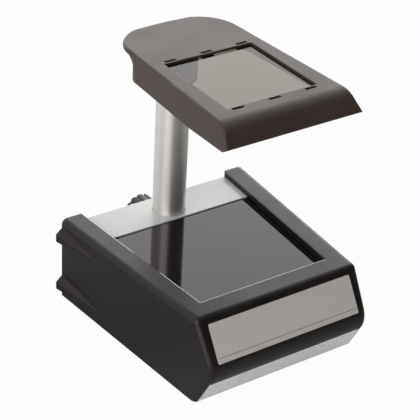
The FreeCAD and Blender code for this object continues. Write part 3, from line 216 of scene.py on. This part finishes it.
# %% The lamps
def soft_box(name, at, toward, width, height, watts):
    """A rectangular lamp that faces a point."""
    data = bpy.data.lights.new(name, "AREA")
    data.shape = "RECTANGLE"
    data.size, data.size_y = width, height
    data.energy = watts
    lamp = bpy.data.objects.new(name, data)
    aim = Vector(toward) - Vector(at)
    lamp.matrix_world = Matrix.Translation(at) @ aim.to_track_quat("-Z", "Y").to_matrix().to_4x4()
    lamp.visible_camera = False
    bpy.context.collection.objects.link(lamp)


soft_box("back soft box", at=(0.95, 1.3, 1.05), toward=(0, 0, 0.12), width=2.4, height=1.5, watts=16)
soft_box("left soft box", at=(-1.3, -0.77, 0.75), toward=(0, 0, 0.12), width=1.4, height=1.0, watts=12.5)
soft_box("low strip light", at=(1.05, 1.34, 0.2), toward=(0, 0, 0.1), width=1.2, height=0.3, watts=6)
bpy.context.scene.view_settings.view_transform = "Standard"
print("lamps:", len(bpy.data.lights))

# %% [markdown]
# ## Finishes
# Each finish starts from what the real one is and how it was made. Its patterns could be painted
# pictures, but noise needs no file, has no seams and stays sharp close up. Patterns are sized in
# millimetres: features of a given size come from a scale of one over that size. A noise rarely
# leaves 0.3 to 0.7, so that part of it is spread over the colours and the roughness.

# %% The base of a finish
def finish(name, colour, roughness, **sockets):
    """A new material: the tree, its shader, and the object coordinates in metres."""
    material = bpy.data.materials.new(name)
    material.use_nodes = True
    grove = material.node_tree
    grove.nodes.clear()
    shader = add(grove, "ShaderNodeBsdfPrincipled", {"Base Color": linear(colour),
                                                     "Roughness": roughness})
    for key, value in sockets.items():
        shader.inputs[key.replace("_", " ").title().replace("Ior", "IOR")].default_value = value
    add(grove, "ShaderNodeOutputMaterial", {"Surface": shader.outputs[0]})
    place = add(grove, "ShaderNodeTexCoord").outputs["Object"]
    return material, grove, shader, place


def per(size_mm):
    """The scale of a pattern whose features are size_mm across."""
    return 1 / (size_mm * MM)


NOISE_LOW, NOISE_HIGH = 0.3, 0.7


def colour_by(grove, shader, pattern, dark, light, start=NOISE_LOW, end=NOISE_HIGH):
    """Blends the colour from dark to light as a pattern goes from start to end."""
    share = add(grove, "ShaderNodeMapRange", {"Value": pattern, "From Min": start, "From Max": end})
    blend = add(grove, "ShaderNodeMix", {"Factor": share.outputs[0], "A": linear(dark),
                                         "B": linear(light)}, data_type="RGBA")
    grove.links.new(blend.outputs["Result"], shader.inputs["Base Color"])
    return blend.outputs["Result"]


def roughness_by(grove, shader, pattern, smooth, rough, start=NOISE_LOW, end=NOISE_HIGH):
    """Runs the roughness from smooth to rough as a pattern goes from start to end."""
    dull = add(grove, "ShaderNodeMapRange", {"Value": pattern, "From Min": start, "From Max": end,
                                             "To Min": smooth, "To Max": rough})
    grove.links.new(dull.outputs[0], shader.inputs["Roughness"])


def relief(grove, shader, height, depth_mm, strength, edge_mm=0.0):
    """Bump of a given depth in millimetres, over edges that look rounded by edge_mm."""
    bump = add(grove, "ShaderNodeBump", {"Height": height, "Distance": depth_mm * MM,
                                         "Strength": strength})
    if edge_mm:
        soft_edge = add(grove, "ShaderNodeBevel", {"Radius": edge_mm * MM}, samples=4)
        grove.links.new(soft_edge.outputs[0], bump.inputs["Normal"])
    grove.links.new(bump.outputs[0], shader.inputs["Normal"])


def names(*materials):
    return "; ".join(material.name for material in materials)


print("a pattern of 1 mm has a scale of", round(per(1)))

# %% [markdown]
# ### Moulded plastic
# Both mouldings are ABS from a spark-eroded mould: a fine even grain and a satin sheen. The grain
# of the real one is about 0.3 mm, which is too fine to show, so it is drawn at 0.9 mm. The sharp
# edges are painted a little paler, in patches: partly the wear where hands rub them, partly a
# painted highlight for the fine light lines that edges catch. The pale edge is found by comparing
# the normal of a rounded edge with the flat one: they differ only near an edge. Edges could be
# rounded in the mesh, but the solids stay as they are, and the same trick makes a sharp edge catch
# the light without new faces.

# %% ABS
# The paler edges are partly rubbed wear and partly a painted highlight along the sharp edges.
PALE_EDGE_MM, PATCH_MM = 0.7, 14
PALE_EDGE_ALL, PALE_EDGE_NONE = 0.90, 0.985  # how well the two normals agree where all is worn, and nothing
LEAST_PALE_EDGE = 0.35


def edge_wear_and_highlight(grove, place):
    """A mask, 1 on sharp edges and patchy along them: rubbed wear and a painted highlight."""
    rounded = add(grove, "ShaderNodeBevel", {"Radius": PALE_EDGE_MM * MM}, samples=6)
    flat = add(grove, "ShaderNodeNewGeometry").outputs["True Normal"]
    alike = add(grove, "ShaderNodeVectorMath", {0: rounded.outputs[0], 1: flat}, operation="DOT_PRODUCT")
    edge = add(grove, "ShaderNodeMapRange", {"Value": alike.outputs["Value"], "From Min": PALE_EDGE_ALL,
                                             "From Max": PALE_EDGE_NONE, "To Min": 1.0, "To Max": 0.0})
    patches = add(grove, "ShaderNodeTexNoise", {"Vector": place, "Scale": per(PATCH_MM), "Detail": 3})
    patchy = add(grove, "ShaderNodeMapRange", {"Value": patches.outputs[0], "From Min": NOISE_LOW,
                                               "From Max": NOISE_HIGH, "To Min": LEAST_PALE_EDGE})
    mask = add(grove, "ShaderNodeMath", {0: edge.outputs[0], 1: patchy.outputs[0]}, operation="MULTIPLY")
    return mask.outputs[0]


CLOUD_MM, GRAIN_MM, GRAIN_DEEP_MM, EDGE_MM = 38, 0.9, 0.05, 1.2
SUM_LOW, SUM_HIGH = 0.76, 1.24  # the range that the sum of the two noises rarely leaves
WARM_SHEEN = (1.0, 0.91, 0.91, 1.0)


def moulded_abs(name, dark, light, rubbed_and_highlit, roughness, sheen_level):
    material, grove, shader, place = finish(name, light, roughness, ior=1.54,
                                            specular_ior_level=sheen_level, specular_tint=WARM_SHEEN)
    cloud = add(grove, "ShaderNodeTexNoise", {"Vector": place, "Scale": per(CLOUD_MM), "Detail": 4})
    speck = add(grove, "ShaderNodeTexNoise", {"Vector": place, "Scale": per(GRAIN_MM), "Detail": 2})
    mixed = add(grove, "ShaderNodeMath", {0: cloud.outputs[0], 1: speck.outputs[0]}, operation="ADD")
    moulded = colour_by(grove, shader, mixed.outputs[0], dark, light, start=SUM_LOW, end=SUM_HIGH)
    # Here the sharp edges are painted paler: rubbed wear, and a painted highlight.
    worn_and_highlit = add(grove, "ShaderNodeMix", {"Factor": edge_wear_and_highlight(grove, place), "A": moulded,
                                        "B": linear(rubbed_and_highlit)}, data_type="RGBA")
    grove.links.new(worn_and_highlit.outputs["Result"], shader.inputs["Base Color"])
    roughness_by(grove, shader, cloud.outputs[0], roughness - 0.05, roughness + 0.05)
    relief(grove, shader, speck.outputs[0], GRAIN_DEEP_MM, strength=0.5, edge_mm=EDGE_MM)
    return material


# The third colour is the painted pale edge: wear, and a painted highlight.
case_abs = moulded_abs("black ABS, spark-eroded", "#120e0d", "#191413", rubbed_and_highlit="#3c3735",
                       roughness=0.42, sheen_level=0.36)
head_abs = moulded_abs("dark grey ABS, spark-eroded", "#382d26", "#423730", rubbed_and_highlit="#6b6462",
                       roughness=0.40, sheen_level=0.4)
print("plastics:", names(case_abs, head_abs))

# %% [markdown]
# ### Sheet metal and paint
# The pan, the rear panel and its brackets are hot-dip galvanised: zinc freezes in flat crystals,
# the spangle, a few millimetres across, under a bloom of dull oxide. Voronoi cells have the shape
# of crystals that grow until they meet, so one colour and one gloss a cell draw them. The oxide
# hides most of the mirror, so the finish is only a little metallic. The pan's is paler than the
# panel's: partly fresh zinc, partly a painted reflection of the white floor that the pan mirrors.
#
# The deck plate is powder coated, with the faint orange peel of melted powder. The reflector is
# smooth white enamel, and the column's socket is a casting under thick grey paint.

# %% Galvanised steel
SPANGLE_MM, BLOOM_MM, BLOOM_DEEP_MM = 2.6, 1.4, 0.03


def galvanised(name, dark, light):
    material, grove, shader, place = finish(name, light, 0.42, metallic=0.2)
    cells = add(grove, "ShaderNodeTexVoronoi", {"Vector": place, "Scale": per(SPANGLE_MM)})
    crystal = add(grove, "ShaderNodeSeparateColor", {"Color": cells.outputs["Color"]})
    bloom = add(grove, "ShaderNodeTexNoise", {"Vector": place, "Scale": per(BLOOM_MM), "Detail": 3})
    mixed = add(grove, "ShaderNodeMath", {0: crystal.outputs[0], 1: bloom.outputs[0]}, operation="ADD")
    colour_by(grove, shader, mixed.outputs[0], dark, light, start=0.4, end=1.0)
    roughness_by(grove, shader, crystal.outputs[0], smooth=0.34, rough=0.52, start=0.0, end=1.0)
    relief(grove, shader, bloom.outputs[0], BLOOM_DEEP_MM, strength=0.6)
    return material


zinc_sheet = galvanised("galvanised steel, spangled", "#b4bab8", "#d8dddb")
# The pan's paler zinc is partly fresh zinc, partly a painted reflection of the white floor.
zinc_pale_painted_reflection = galvanised("galvanised steel, pale, with painted reflection", "#dfe4e2", "#f6f8f7")
print("sheet metal:", names(zinc_sheet, zinc_pale_painted_reflection))

# %% Powder coat, enamel, paint
COAT_CLOUD_MM = 30


def coated(name, dark, light, roughness, peel_mm, depth_mm):
    material, grove, shader, place = finish(name, light, roughness, coat_weight=0.25, coat_roughness=0.12)
    peel = add(grove, "ShaderNodeTexNoise", {"Vector": place, "Scale": per(peel_mm), "Detail": 1.5})
    cloud = add(grove, "ShaderNodeTexNoise", {"Vector": place, "Scale": per(COAT_CLOUD_MM), "Detail": 3})
    colour_by(grove, shader, cloud.outputs[0], dark, light)
    roughness_by(grove, shader, cloud.outputs[0], roughness - 0.03, roughness + 0.04)
    relief(grove, shader, peel.outputs[0], depth_mm, strength=0.5)
    return material


powder_grey = coated("light grey powder coat", "#d2d2d2", "#dadada", 0.30, peel_mm=1.6, depth_mm=0.02)
enamel_white = coated("white enamel", "#eae9e4", "#f2f1ec", 0.22, peel_mm=4.0, depth_mm=0.02)
cast_grey = coated("grey paint on a casting", "#333436", "#3f4042", 0.55, peel_mm=2.2, depth_mm=0.12)
print("coatings:", names(powder_grey, enamel_white, cast_grey))

# %% [markdown]
# ### Glass, opal and film
# The lower polariser is a film between two sheets of glass. Nearly all the light that enters is
# absorbed, so it is made as a dark mirror: an opaque smoky body under a smooth surface with faint
# smears. Clear glass over a dark box would look the same and take far longer. The diffuser under it
# is opal acrylic. The upper polariser is one stretched film, grey with a warm cast, that lets
# through about a third of the light, so this one is really clear. Its index is a little below the
# real one, which keeps the mirror image on it faint.

# %% Polariser glass, opal acrylic, film
SMEAR_MM, OPAL_CLOUD_MM, STRETCH_MM = 46, 60, 45


def polariser_glass():
    material, grove, shader, place = finish("laminated polariser glass", "#191416", 0.02, ior=1.50,
                                            specular_ior_level=0.43, specular_tint=(1.0, 0.90, 0.94, 1.0))
    smear = add(grove, "ShaderNodeTexNoise", {"Vector": place, "Scale": per(SMEAR_MM), "Detail": 4})
    colour_by(grove, shader, smear.outputs[0], "#151012", "#191416")
    roughness_by(grove, shader, smear.outputs[0], smooth=0.015, rough=0.05)
    return material


def opal():
    material, grove, shader, place = finish("opal acrylic", "#eceae6", 0.25, ior=1.49)
    cloud = add(grove, "ShaderNodeTexNoise", {"Vector": place, "Scale": per(OPAL_CLOUD_MM), "Detail": 2})
    colour_by(grove, shader, cloud.outputs[0], "#e6e4df", "#f0eeea")
    return material


def film():
    material, grove, shader, place = finish("stretched polarising film", "#736b60", 0.0, ior=1.35,
                                            transmission_weight=1.0)
    uneven = add(grove, "ShaderNodeTexNoise", {"Vector": place, "Scale": per(STRETCH_MM), "Detail": 3})
    colour_by(grove, shader, uneven.outputs[0], "#70695e", "#756e63")
    return material


glass_dark, opal_white, film_grey = polariser_glass(), opal(), film()
print("optics:", names(glass_dark, opal_white, film_grey))

# %% [markdown]
# ### Bare metal
# The column is a steel tube, polished as it turned and satin chromed. Its fine rings draw the
# reflections out along it, which the anisotropic shader does without a mesh for the rings. The
# label is anodised aluminium, brushed lengthwise under the dull anodised layer. Strokes are noise
# drawn out along one axis: short across the stroke, long along it. Real strokes are finer than
# 0.1 mm, too fine to show, so they are drawn at 0.5 mm and more.

# %% Brushed metal
def brushed(name, dark, light, roughness, size_mm, stretch, metallic=1.0, depth_mm=0.004):
    """Strokes size_mm wide, drawn out along the axes where stretch is below 1."""
    material, grove, shader, place = finish(name, light, roughness, metallic=metallic)
    drawn = add(grove, "ShaderNodeMapping", {"Vector": place, "Scale": stretch})
    stroke = add(grove, "ShaderNodeTexNoise", {"Vector": drawn.outputs[0], "Scale": per(size_mm),
                                               "Detail": 3})
    colour_by(grove, shader, stroke.outputs[0], dark, light)
    roughness_by(grove, shader, stroke.outputs[0], roughness - 0.04, roughness + 0.06)
    relief(grove, shader, stroke.outputs[0], depth_mm, strength=0.4)
    return material


def drawn_out_round(material):
    """Stretches the reflections on a lathe-polished tube along its axis."""
    grove = material.node_tree
    shader = next(node for node in grove.nodes if node.type == "BSDF_PRINCIPLED")
    shader.inputs["Anisotropic"].default_value = 0.75
    shader.inputs["Anisotropic Rotation"].default_value = 0.25
    around_z = add(grove, "ShaderNodeTangent", direction_type="RADIAL", axis="Z")
    grove.links.new(around_z.outputs[0], shader.inputs["Tangent"])


chromed_tube = brushed("satin chromed tube", "#dfdcd6", "#eae7e2", 0.40, size_mm=0.5,
                       stretch=(0.1, 0.1, 1), metallic=0.86, depth_mm=0.002)
drawn_out_round(chromed_tube)
label_metal = brushed("anodised aluminium, brushed", "#d4ceca", "#d8d3ce", 0.45, size_mm=0.5,
                      stretch=(0.03, 1, 1), metallic=0.15, depth_mm=0.002)
zinc_plate = brushed("bright zinc plate", "#a9adb3", "#c4c7cb", 0.28, size_mm=1.2, stretch=(1, 1, 1))
brass_plain = brushed("turned brass", "#b08f45", "#cdae63", 0.30, size_mm=0.6, stretch=(1, 1, 0.3))
cap_metal = brushed("lamp cap aluminium", "#a5a7aa", "#bdbfc1", 0.36, size_mm=0.6, stretch=(0.1, 1, 1))
print("bare metal:", names(chromed_tube, label_metal, zinc_plate, brass_plain, cap_metal))

# %% [markdown]
# ### Small mouldings, rubber and the choke
# The knob and its cap are phenolic, harder and glossier than ABS. The switch and inlet are nylon,
# the lamp's holders white urea, and the feet rubber. They differ in colour, gloss and the size of
# their grain, so one function makes them all.
#
# The choke is a stack of iron sheets dipped in varnish, so its sides are finely striped. The sheets
# are half a millimetre thick, too fine to show, so the stripes are drawn wider.

# %% Phenolic, nylon, rubber, glass tube
def plain(name, dark, light, roughness, speck_mm, depth_mm, **extra):
    material, grove, shader, place = finish(name, light, roughness, **extra)
    speck = add(grove, "ShaderNodeTexNoise", {"Vector": place, "Scale": per(speck_mm), "Detail": 3})
    colour_by(grove, shader, speck.outputs[0], dark, light)
    roughness_by(grove, shader, speck.outputs[0], roughness - 0.04, roughness + 0.05)
    relief(grove, shader, speck.outputs[0], depth_mm, strength=0.5)
    return material


phenolic = plain("black phenolic, moulded", "#262427", "#313034", 0.38, speck_mm=1.1, depth_mm=0.03)
polished_abs = plain("black ABS, polished edge", "#1c1918", "#242120", 0.09, speck_mm=2.0, depth_mm=0.001,
                     ior=1.6)
black_ink = plain("black screen ink", "#1b1a1a", "#242323", 0.5, speck_mm=0.6, depth_mm=0.004)
nylon_black = plain("black nylon", "#1a1a1b", "#242425", 0.45, speck_mm=0.8, depth_mm=0.03)
nylon_red = plain("red nylon, translucent", "#6b100e", "#82140f", 0.25, speck_mm=3.0, depth_mm=0.01,
                  coat_weight=0.3)
urea_white = plain("white urea moulding", "#e0ded7", "#ebe9e2", 0.35, speck_mm=2.0, depth_mm=0.02)
rubber = plain("black rubber", "#171717", "#222222", 0.75, speck_mm=0.7, depth_mm=0.06)
phosphor_glass = plain("phosphor-coated glass tube", "#efece2", "#f7f5ee", 0.12, speck_mm=6.0,
                       depth_mm=0.005)
print("small mouldings:", names(phenolic, polished_abs, nylon_black, nylon_red, urea_white, rubber))
print("ink and glass:", names(black_ink, phosphor_glass))

# %% Varnished iron
STRIPE_MM, STRIPE_DEEP_MM = 3.6, 0.08


def laminated_iron():
    material, grove, shader, place = finish("varnished iron sheets", "#3c3f44", 0.4, metallic=0.3)
    sheets = add(grove, "ShaderNodeTexWave", {"Vector": place, "Scale": per(STRIPE_MM),
                                              "Distortion": 0.4}, wave_type="BANDS", bands_direction="X")
    stripe = sheets.outputs["Fac"]
    colour_by(grove, shader, stripe, "#2d3034", "#4a4d52", start=0.2, end=0.8)
    relief(grove, shader, stripe, STRIPE_DEEP_MM, strength=0.6)
    return material


iron_sheets = laminated_iron()
print("choke:", names(iron_sheets))

# %% [markdown]
# ## Hand out the finishes
# Every node keeps its shape and gets its finish in each of its own slots.

# %% Assign
FINISHES = {
    "base_case": case_abs, "head_shell": head_abs,
    # The pan's finish carries a painted reflection of the white floor in its pale colour.
    "chassis_pan": zinc_pale_painted_reflection, "rear_panel": zinc_sheet, "panel_brackets": zinc_sheet,
    "deck_plate": powder_grey, "reflector": enamel_white, "column_socket": cast_grey,
    "polariser_glass": glass_dark, "opal_diffuser": opal_white, "analyser_film": film_grey,
    "column_tube": chromed_tube, "label_plate": label_metal,
    "clamp_knob": phenolic, "knob_cap": phenolic, "clamp_screw": zinc_plate, "clamp_pad": brass_plain,
    "lamp_tube": phosphor_glass, "lamp_caps": cap_metal, "lamp_holders": urea_white,
    "lamp_starter": urea_white, "starter_holder": urea_white, "ballast": iron_sheets,
    "terminal_block": urea_white, "terminal_screws": brass_plain, "earth_stud": brass_plain,
    "mains_inlet": nylon_black, "inlet_pins": brass_plain,
    "power_switch": nylon_black, "switch_rocker": nylon_red,
    "column_plugs": nylon_black, "rubber_feet": rubber,
    "panel_screws": zinc_plate, "ballast_screws": zinc_plate, "inlet_screws": zinc_plate,
    "socket_screws": zinc_plate, "head_screw": zinc_plate, "foot_screws": zinc_plate,
    "case_screws": zinc_plate,
}
for name, node in nodes.items():
    if not node.material_slots:
        node.data.materials.append(None)
    for slot in node.material_slots:
        slot.material = FINISHES[name]
print("finished", len(FINISHES), "nodes")

# %% [markdown]
# ## Mesh helpers
# A new piece is built in the object's own frame, in metres, from the shapes of the nodes that it
# belongs to, so it follows them if a size changes. A node's mesh is loose triangles, so a copy of
# it is merged before it is read.

# %% A new piece
def piece(name, mesh, material, body, smooth_below=35):
    """Turns a bmesh into an object that rides on a body, smooth over edges under smooth_below degrees."""
    bmesh.ops.recalc_face_normals(mesh, faces=mesh.faces)
    for face in mesh.faces:
        face.smooth = True
    for edge in mesh.edges:
        if len(edge.link_faces) == 2 and edge.calc_face_angle(0.0) > math.radians(smooth_below):
            edge.smooth = False
    data = bpy.data.meshes.new(name)
    mesh.to_mesh(data)
    mesh.free()
    data.materials.append(material)
    made = bpy.data.objects.new(name, data)
    bpy.context.collection.objects.link(made)
    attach(made, body)
    return made


def body_of(node):
    bodies = frame["record"]["behaviour"]["bodies"]
    return next(name for name, members in bodies.items() if node in members)


def slot_of(node):
    return next(part["material_slot"] for part in frame["record"]["subparts"] if part["node"] == node)


print("the case rides on", body_of("base_case"), "and its finish goes to", slot_of("base_case"))

# %% Reading the shape of a node
SAME_POINT = 0.001 * MM
FLAT_WITHIN = 0.5  # degrees
FACES_ALIKE = 0.8


def islands(node):
    """The lowest and highest corner of each separate solid of a node."""
    mesh = bmesh.new()
    mesh.from_mesh(nodes[node].data)
    bmesh.ops.remove_doubles(mesh, verts=mesh.verts, dist=SAME_POINT)
    left, found = set(mesh.verts), []
    while left:
        start = left.pop()
        reached, waiting = {start}, [start]
        while waiting:
            for edge in waiting.pop().link_edges:
                for vert in edge.verts:
                    if vert not in reached:
                        reached.add(vert)
                        waiting.append(vert)
        left -= reached
        low = Vector([min(vert.co[axis] for vert in reached) for axis in range(3)])
        high = Vector([max(vert.co[axis] for vert in reached) for axis in range(3)])
        found.append((low, high))
    mesh.free()
    return sorted(found, key=lambda pair: tuple(round(value, 4) for value in pair[0]))


def largest_face(node, toward):
    """Corners of the largest flat of a node that looks toward a direction, and its normal."""
    mesh = bmesh.new()
    mesh.from_mesh(nodes[node].data)
    bmesh.ops.dissolve_limit(mesh, angle_limit=math.radians(FLAT_WITHIN), verts=mesh.verts,
                             edges=mesh.edges)
    flats = [face for face in mesh.faces if face.normal.dot(Vector(toward).normalized()) > FACES_ALIKE]
    best = max(flats, key=lambda face: face.calc_area())
    corners, normal = [vert.co.copy() for vert in best.verts], best.normal.copy()
    mesh.free()
    return corners, normal


print("islands of the panel screws:", len(islands("panel_screws")))

# %% [markdown]
# ## Screws with a cross recess
# A pan head is a flat dome with a rounded rim. Half its outline is spun round to make the screw. The
# recess is a tapered cross, cut out of one screw of each kind. It could be a dark mark on the head,
# but a carved one looks right from every side. The screw is then set at every place where its node
# has one, each turned differently, as screws end up when they are driven.

# %% One screw
STEPS_ROUND = 40
RECESS_FOOT, RECESS_THINNEST, RECESS_OVER = 0.45, 0.6, 0.4 * MM


def turned(profile):
    """A solid of revolution about Z from (radius, height) points."""
    mesh = bmesh.new()
    verts = [mesh.verts.new((radius, 0, height)) for radius, height in profile]
    edges = [mesh.edges.new(pair) for pair in zip(verts, verts[1:])]
    bmesh.ops.spin(mesh, geom=verts + edges, cent=(0, 0, 0), axis=(0, 0, 1), angle=math.tau,
                   steps=STEPS_ROUND, use_merge=True)
    bmesh.ops.remove_doubles(mesh, verts=mesh.verts, dist=0.1 * SAME_POINT)
    return mesh


def cross_cutter(reach, thick, depth, top):
    """Two crossed wedges, narrower at the bottom."""
    mesh = bmesh.new()
    for quarter in (0, 90):
        made = bmesh.ops.create_cube(mesh, size=1.0)["verts"]
        for vert in made:
            upper = vert.co.z > 0
            share = 1.0 if upper else RECESS_FOOT
            thinning = RECESS_THINNEST + (1 - RECESS_THINNEST) * share
            height = top + RECESS_OVER if upper else top - depth
            vert.co = Vector((vert.co.x * 2 * reach * share, vert.co.y * thick * thinning, height))
        bmesh.ops.rotate(mesh, verts=made, cent=(0, 0, 0), matrix=turn(quarter, "Z").to_3x3())
    return mesh


def carved(mesh, cutter):
    """The first mesh less the second."""
    pair = []
    for name, part in (("blank", mesh), ("cutter", cutter)):
        data = bpy.data.meshes.new(name)
        part.to_mesh(data)
        part.free()
        made = bpy.data.objects.new(name, data)
        bpy.context.collection.objects.link(made)
        pair.append(made)
    blank, tool = pair
    change = blank.modifiers.new("recess", "BOOLEAN")
    change.operation, change.object, change.solver, change.use_self = "DIFFERENCE", tool, "EXACT", True
    done = bmesh.new()
    done.from_object(blank, bpy.context.evaluated_depsgraph_get())
    for made in pair:
        bpy.data.objects.remove(made)
    return done


DOME_ANGLES = range(12, 91, 13)  # degrees from the top of the dome
RIM_SHARE = 0.3


def screw_outline(radius, rise, shank, length):
    """Half the outline of a pan head screw, its head's underside at height 0."""
    outline = [(0, rise)]
    for degrees in DOME_ANGLES:
        angle = math.radians(degrees)
        outline.append((radius * math.sin(angle), rise * (RIM_SHARE + (1 - RIM_SHARE) * math.cos(angle))))
    return outline + [(radius, 0), (shank, 0), (shank, rise - length), (0, rise - length)]


print("a screw's outline has", len(screw_outline(2.8, 1.6, 1.5, 8.0)), "points")

# %% Every screw
# The first two are shares of the head's radius, the others of its height.
RECESS_REACH, RECESS_THICK, RECESS_DEEP, RECESS_TOP = 0.62, 0.26, 0.8, 0.92
FIRST_TURN, NEXT_TURN = 17, 47  # degrees


def detailed_screws(node, out, shank, rise):
    """Replaces the plain screws of a node. The way their heads look is out."""
    out = Vector(out)
    facing = out.to_track_quat("Z", "Y").to_matrix().to_4x4()
    axis = max(range(3), key=lambda index: abs(out[index]))
    across = (axis + 1) % 3
    places = islands(node)
    low, high = places[0]
    radius, length = (high[across] - low[across]) / 2, high[axis] - low[axis]
    cutter = cross_cutter(reach=radius * RECESS_REACH, thick=radius * RECESS_THICK,
                          depth=rise * RECESS_DEEP, top=rise * RECESS_TOP)
    blank = carved(turned(screw_outline(radius, rise, shank, length)), cutter)
    single = bpy.data.meshes.new(node + "_single")
    blank.to_mesh(single)
    blank.free()
    every = bmesh.new()
    for index, (low, high) in enumerate(places):
        seat = (low + high) / 2
        seat[axis] = (high if out[axis] > 0 else low)[axis] - rise * out[axis]
        spun = turn(FIRST_TURN + NEXT_TURN * index, "Z")
        start = len(every.verts)
        every.from_mesh(single)
        every.verts.ensure_lookup_table()
        bmesh.ops.transform(every, verts=every.verts[start:],
                            matrix=Matrix.Translation(seat) @ facing @ spun)
    bpy.data.meshes.remove(single)
    made = piece(node + "_detailed", every, zinc_plate, body_of(node))
    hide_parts(node)
    return len(places)


DOWN, BACK = (0, 0, -1), (0, 1, 0)
SCREWS = (
    # node, way the heads look, radius of the shank and height of the head in mm
    ("panel_screws", BACK, 1.5, 1.6),
    ("inlet_screws", BACK, 1.5, 1.6),
    ("head_screw", BACK, 2.0, 2.6),
    ("case_screws", DOWN, 1.5, 1.4),
    ("foot_screws", DOWN, 1.5, 1.2),
)
count = 0
for node, out, shank_mm, rise_mm in SCREWS:
    count += detailed_screws(node, out, shank_mm * MM, rise_mm * MM)
print("detailed screws:", count)

# %% [markdown]
# ## The polished rim of the opening
# The mould is grained all over but for the edge of the opening, where its two halves meet: there
# the edge is broken by a narrow facet, as smooth as the polished steel of the mould. Seen at a
# glancing angle it mirrors the low strip light as a fine line. It could be a bevel on the case, but
# the solids stay as they are, so it is one bar with a sloping top, sunk into the case. Four sections
# of the bar, one at each end and each front corner, are bridged, and the two ends are closed.

# %% Rim facet
RIM_WIDE, RIM_DROP, RIM_DEEP, RIM_PROUD = 1.05 * MM, 0.336 * MM, 0.7 * MM, 0.01 * MM
SIDE_GAP, FRONT_GAP = 1.4 * MM, 1.5 * MM  # from the glass to the bar
RIM_CREASE = 5  # degrees


def opening_outline(outward, taper, front, front_x, back):
    """Rear left, front left, front right and rear right of the opening's outline, moved outward."""
    y = front - FRONT_GAP - outward
    half = front_x + SIDE_GAP + outward - taper * (front - y)
    half_back = half + taper * (back - y)
    return [(-half_back, back), (-half, y), (half, y), (half_back, back)]


def rim_facet():
    """A bar along the sides and the front of the opening, which widens to the rear as the glass does."""
    corners, _ = largest_face("polariser_glass", (0, 0, 1))
    front, rear = min(corner.y for corner in corners), max(corner.y for corner in corners)
    front_x = max(corner.x for corner in corners if abs(corner.y - front) < MM)
    rear_x = max(corner.x for corner in corners if abs(corner.y - rear) < MM)
    taper = (rear_x - front_x) / (rear - front)
    back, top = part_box("base_case")[1][1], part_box("base_case")[1][2]
    section = ((0, -RIM_DEEP), (0, -RIM_DROP), (RIM_WIDE, RIM_PROUD), (RIM_WIDE, -RIM_DEEP))
    outlines = [opening_outline(outward, taper, front, front_x, back) for outward, _ in section]
    mesh = bmesh.new()
    loops = []
    for places in zip(*outlines):
        verts = [mesh.verts.new((x, y, top + height)) for (x, y), (_, height) in zip(places, section)]
        loops.append([mesh.edges.new(pair) for pair in zip(verts, verts[1:] + verts[:1])])
    for loop, following in zip(loops, loops[1:]):
        bmesh.ops.bridge_loops(mesh, edges=loop + following)
    for loop in (loops[0], loops[-1]):
        bmesh.ops.contextual_create(mesh, geom=loop)
    return piece("opening_rim", mesh, polished_abs, body_of("base_case"), RIM_CREASE)


rim = rim_facet()
print("rim facet of", len(rim.data.polygons), "faces")

# %% [markdown]
# ## The rule on the label
# The label is bare but for a thin printed line near its lower edge. The line could be drawn by the
# label's material, but a thin piece stays crisp at any distance. Screen ink is about 0.02 mm thick,
# so it is a flat bar of that height that lies on the plate.

# %% Label rule
RULE_UP, RULE_WIDE, RULE_THICK, RULE_MARGIN = 4.6 * MM, 0.4 * MM, 0.02 * MM, 0.8 * MM


def label_rule():
    corners, normal = largest_face("label_plate", (0, -1, 0.5))
    along = Vector((1, 0, 0))
    up = normal.cross(along).normalized()
    corner_of_plate = corners[0]
    spans = [(corner - corner_of_plate).dot(up) for corner in corners]
    reach = [corner.x for corner in corners]
    foot = corner_of_plate + up * min(spans)
    start, stop = min(reach) + RULE_MARGIN, max(reach) - RULE_MARGIN
    mesh = bmesh.new()
    bmesh.ops.create_cube(mesh, size=1.0)
    for vert in mesh.verts:
        x = start if vert.co.x < 0 else stop
        rise = RULE_UP + RULE_WIDE * vert.co.y
        proud = RULE_THICK * (vert.co.z + 0.5)
        spot = foot + up * rise + normal * proud
        vert.co = Vector((x, spot.y, spot.z))
    return piece("label_rule", mesh, black_ink, body_of("label_plate"))


rule = label_rule()
print("label rule of", round(rule.dimensions.x / MM, 1), "mm")
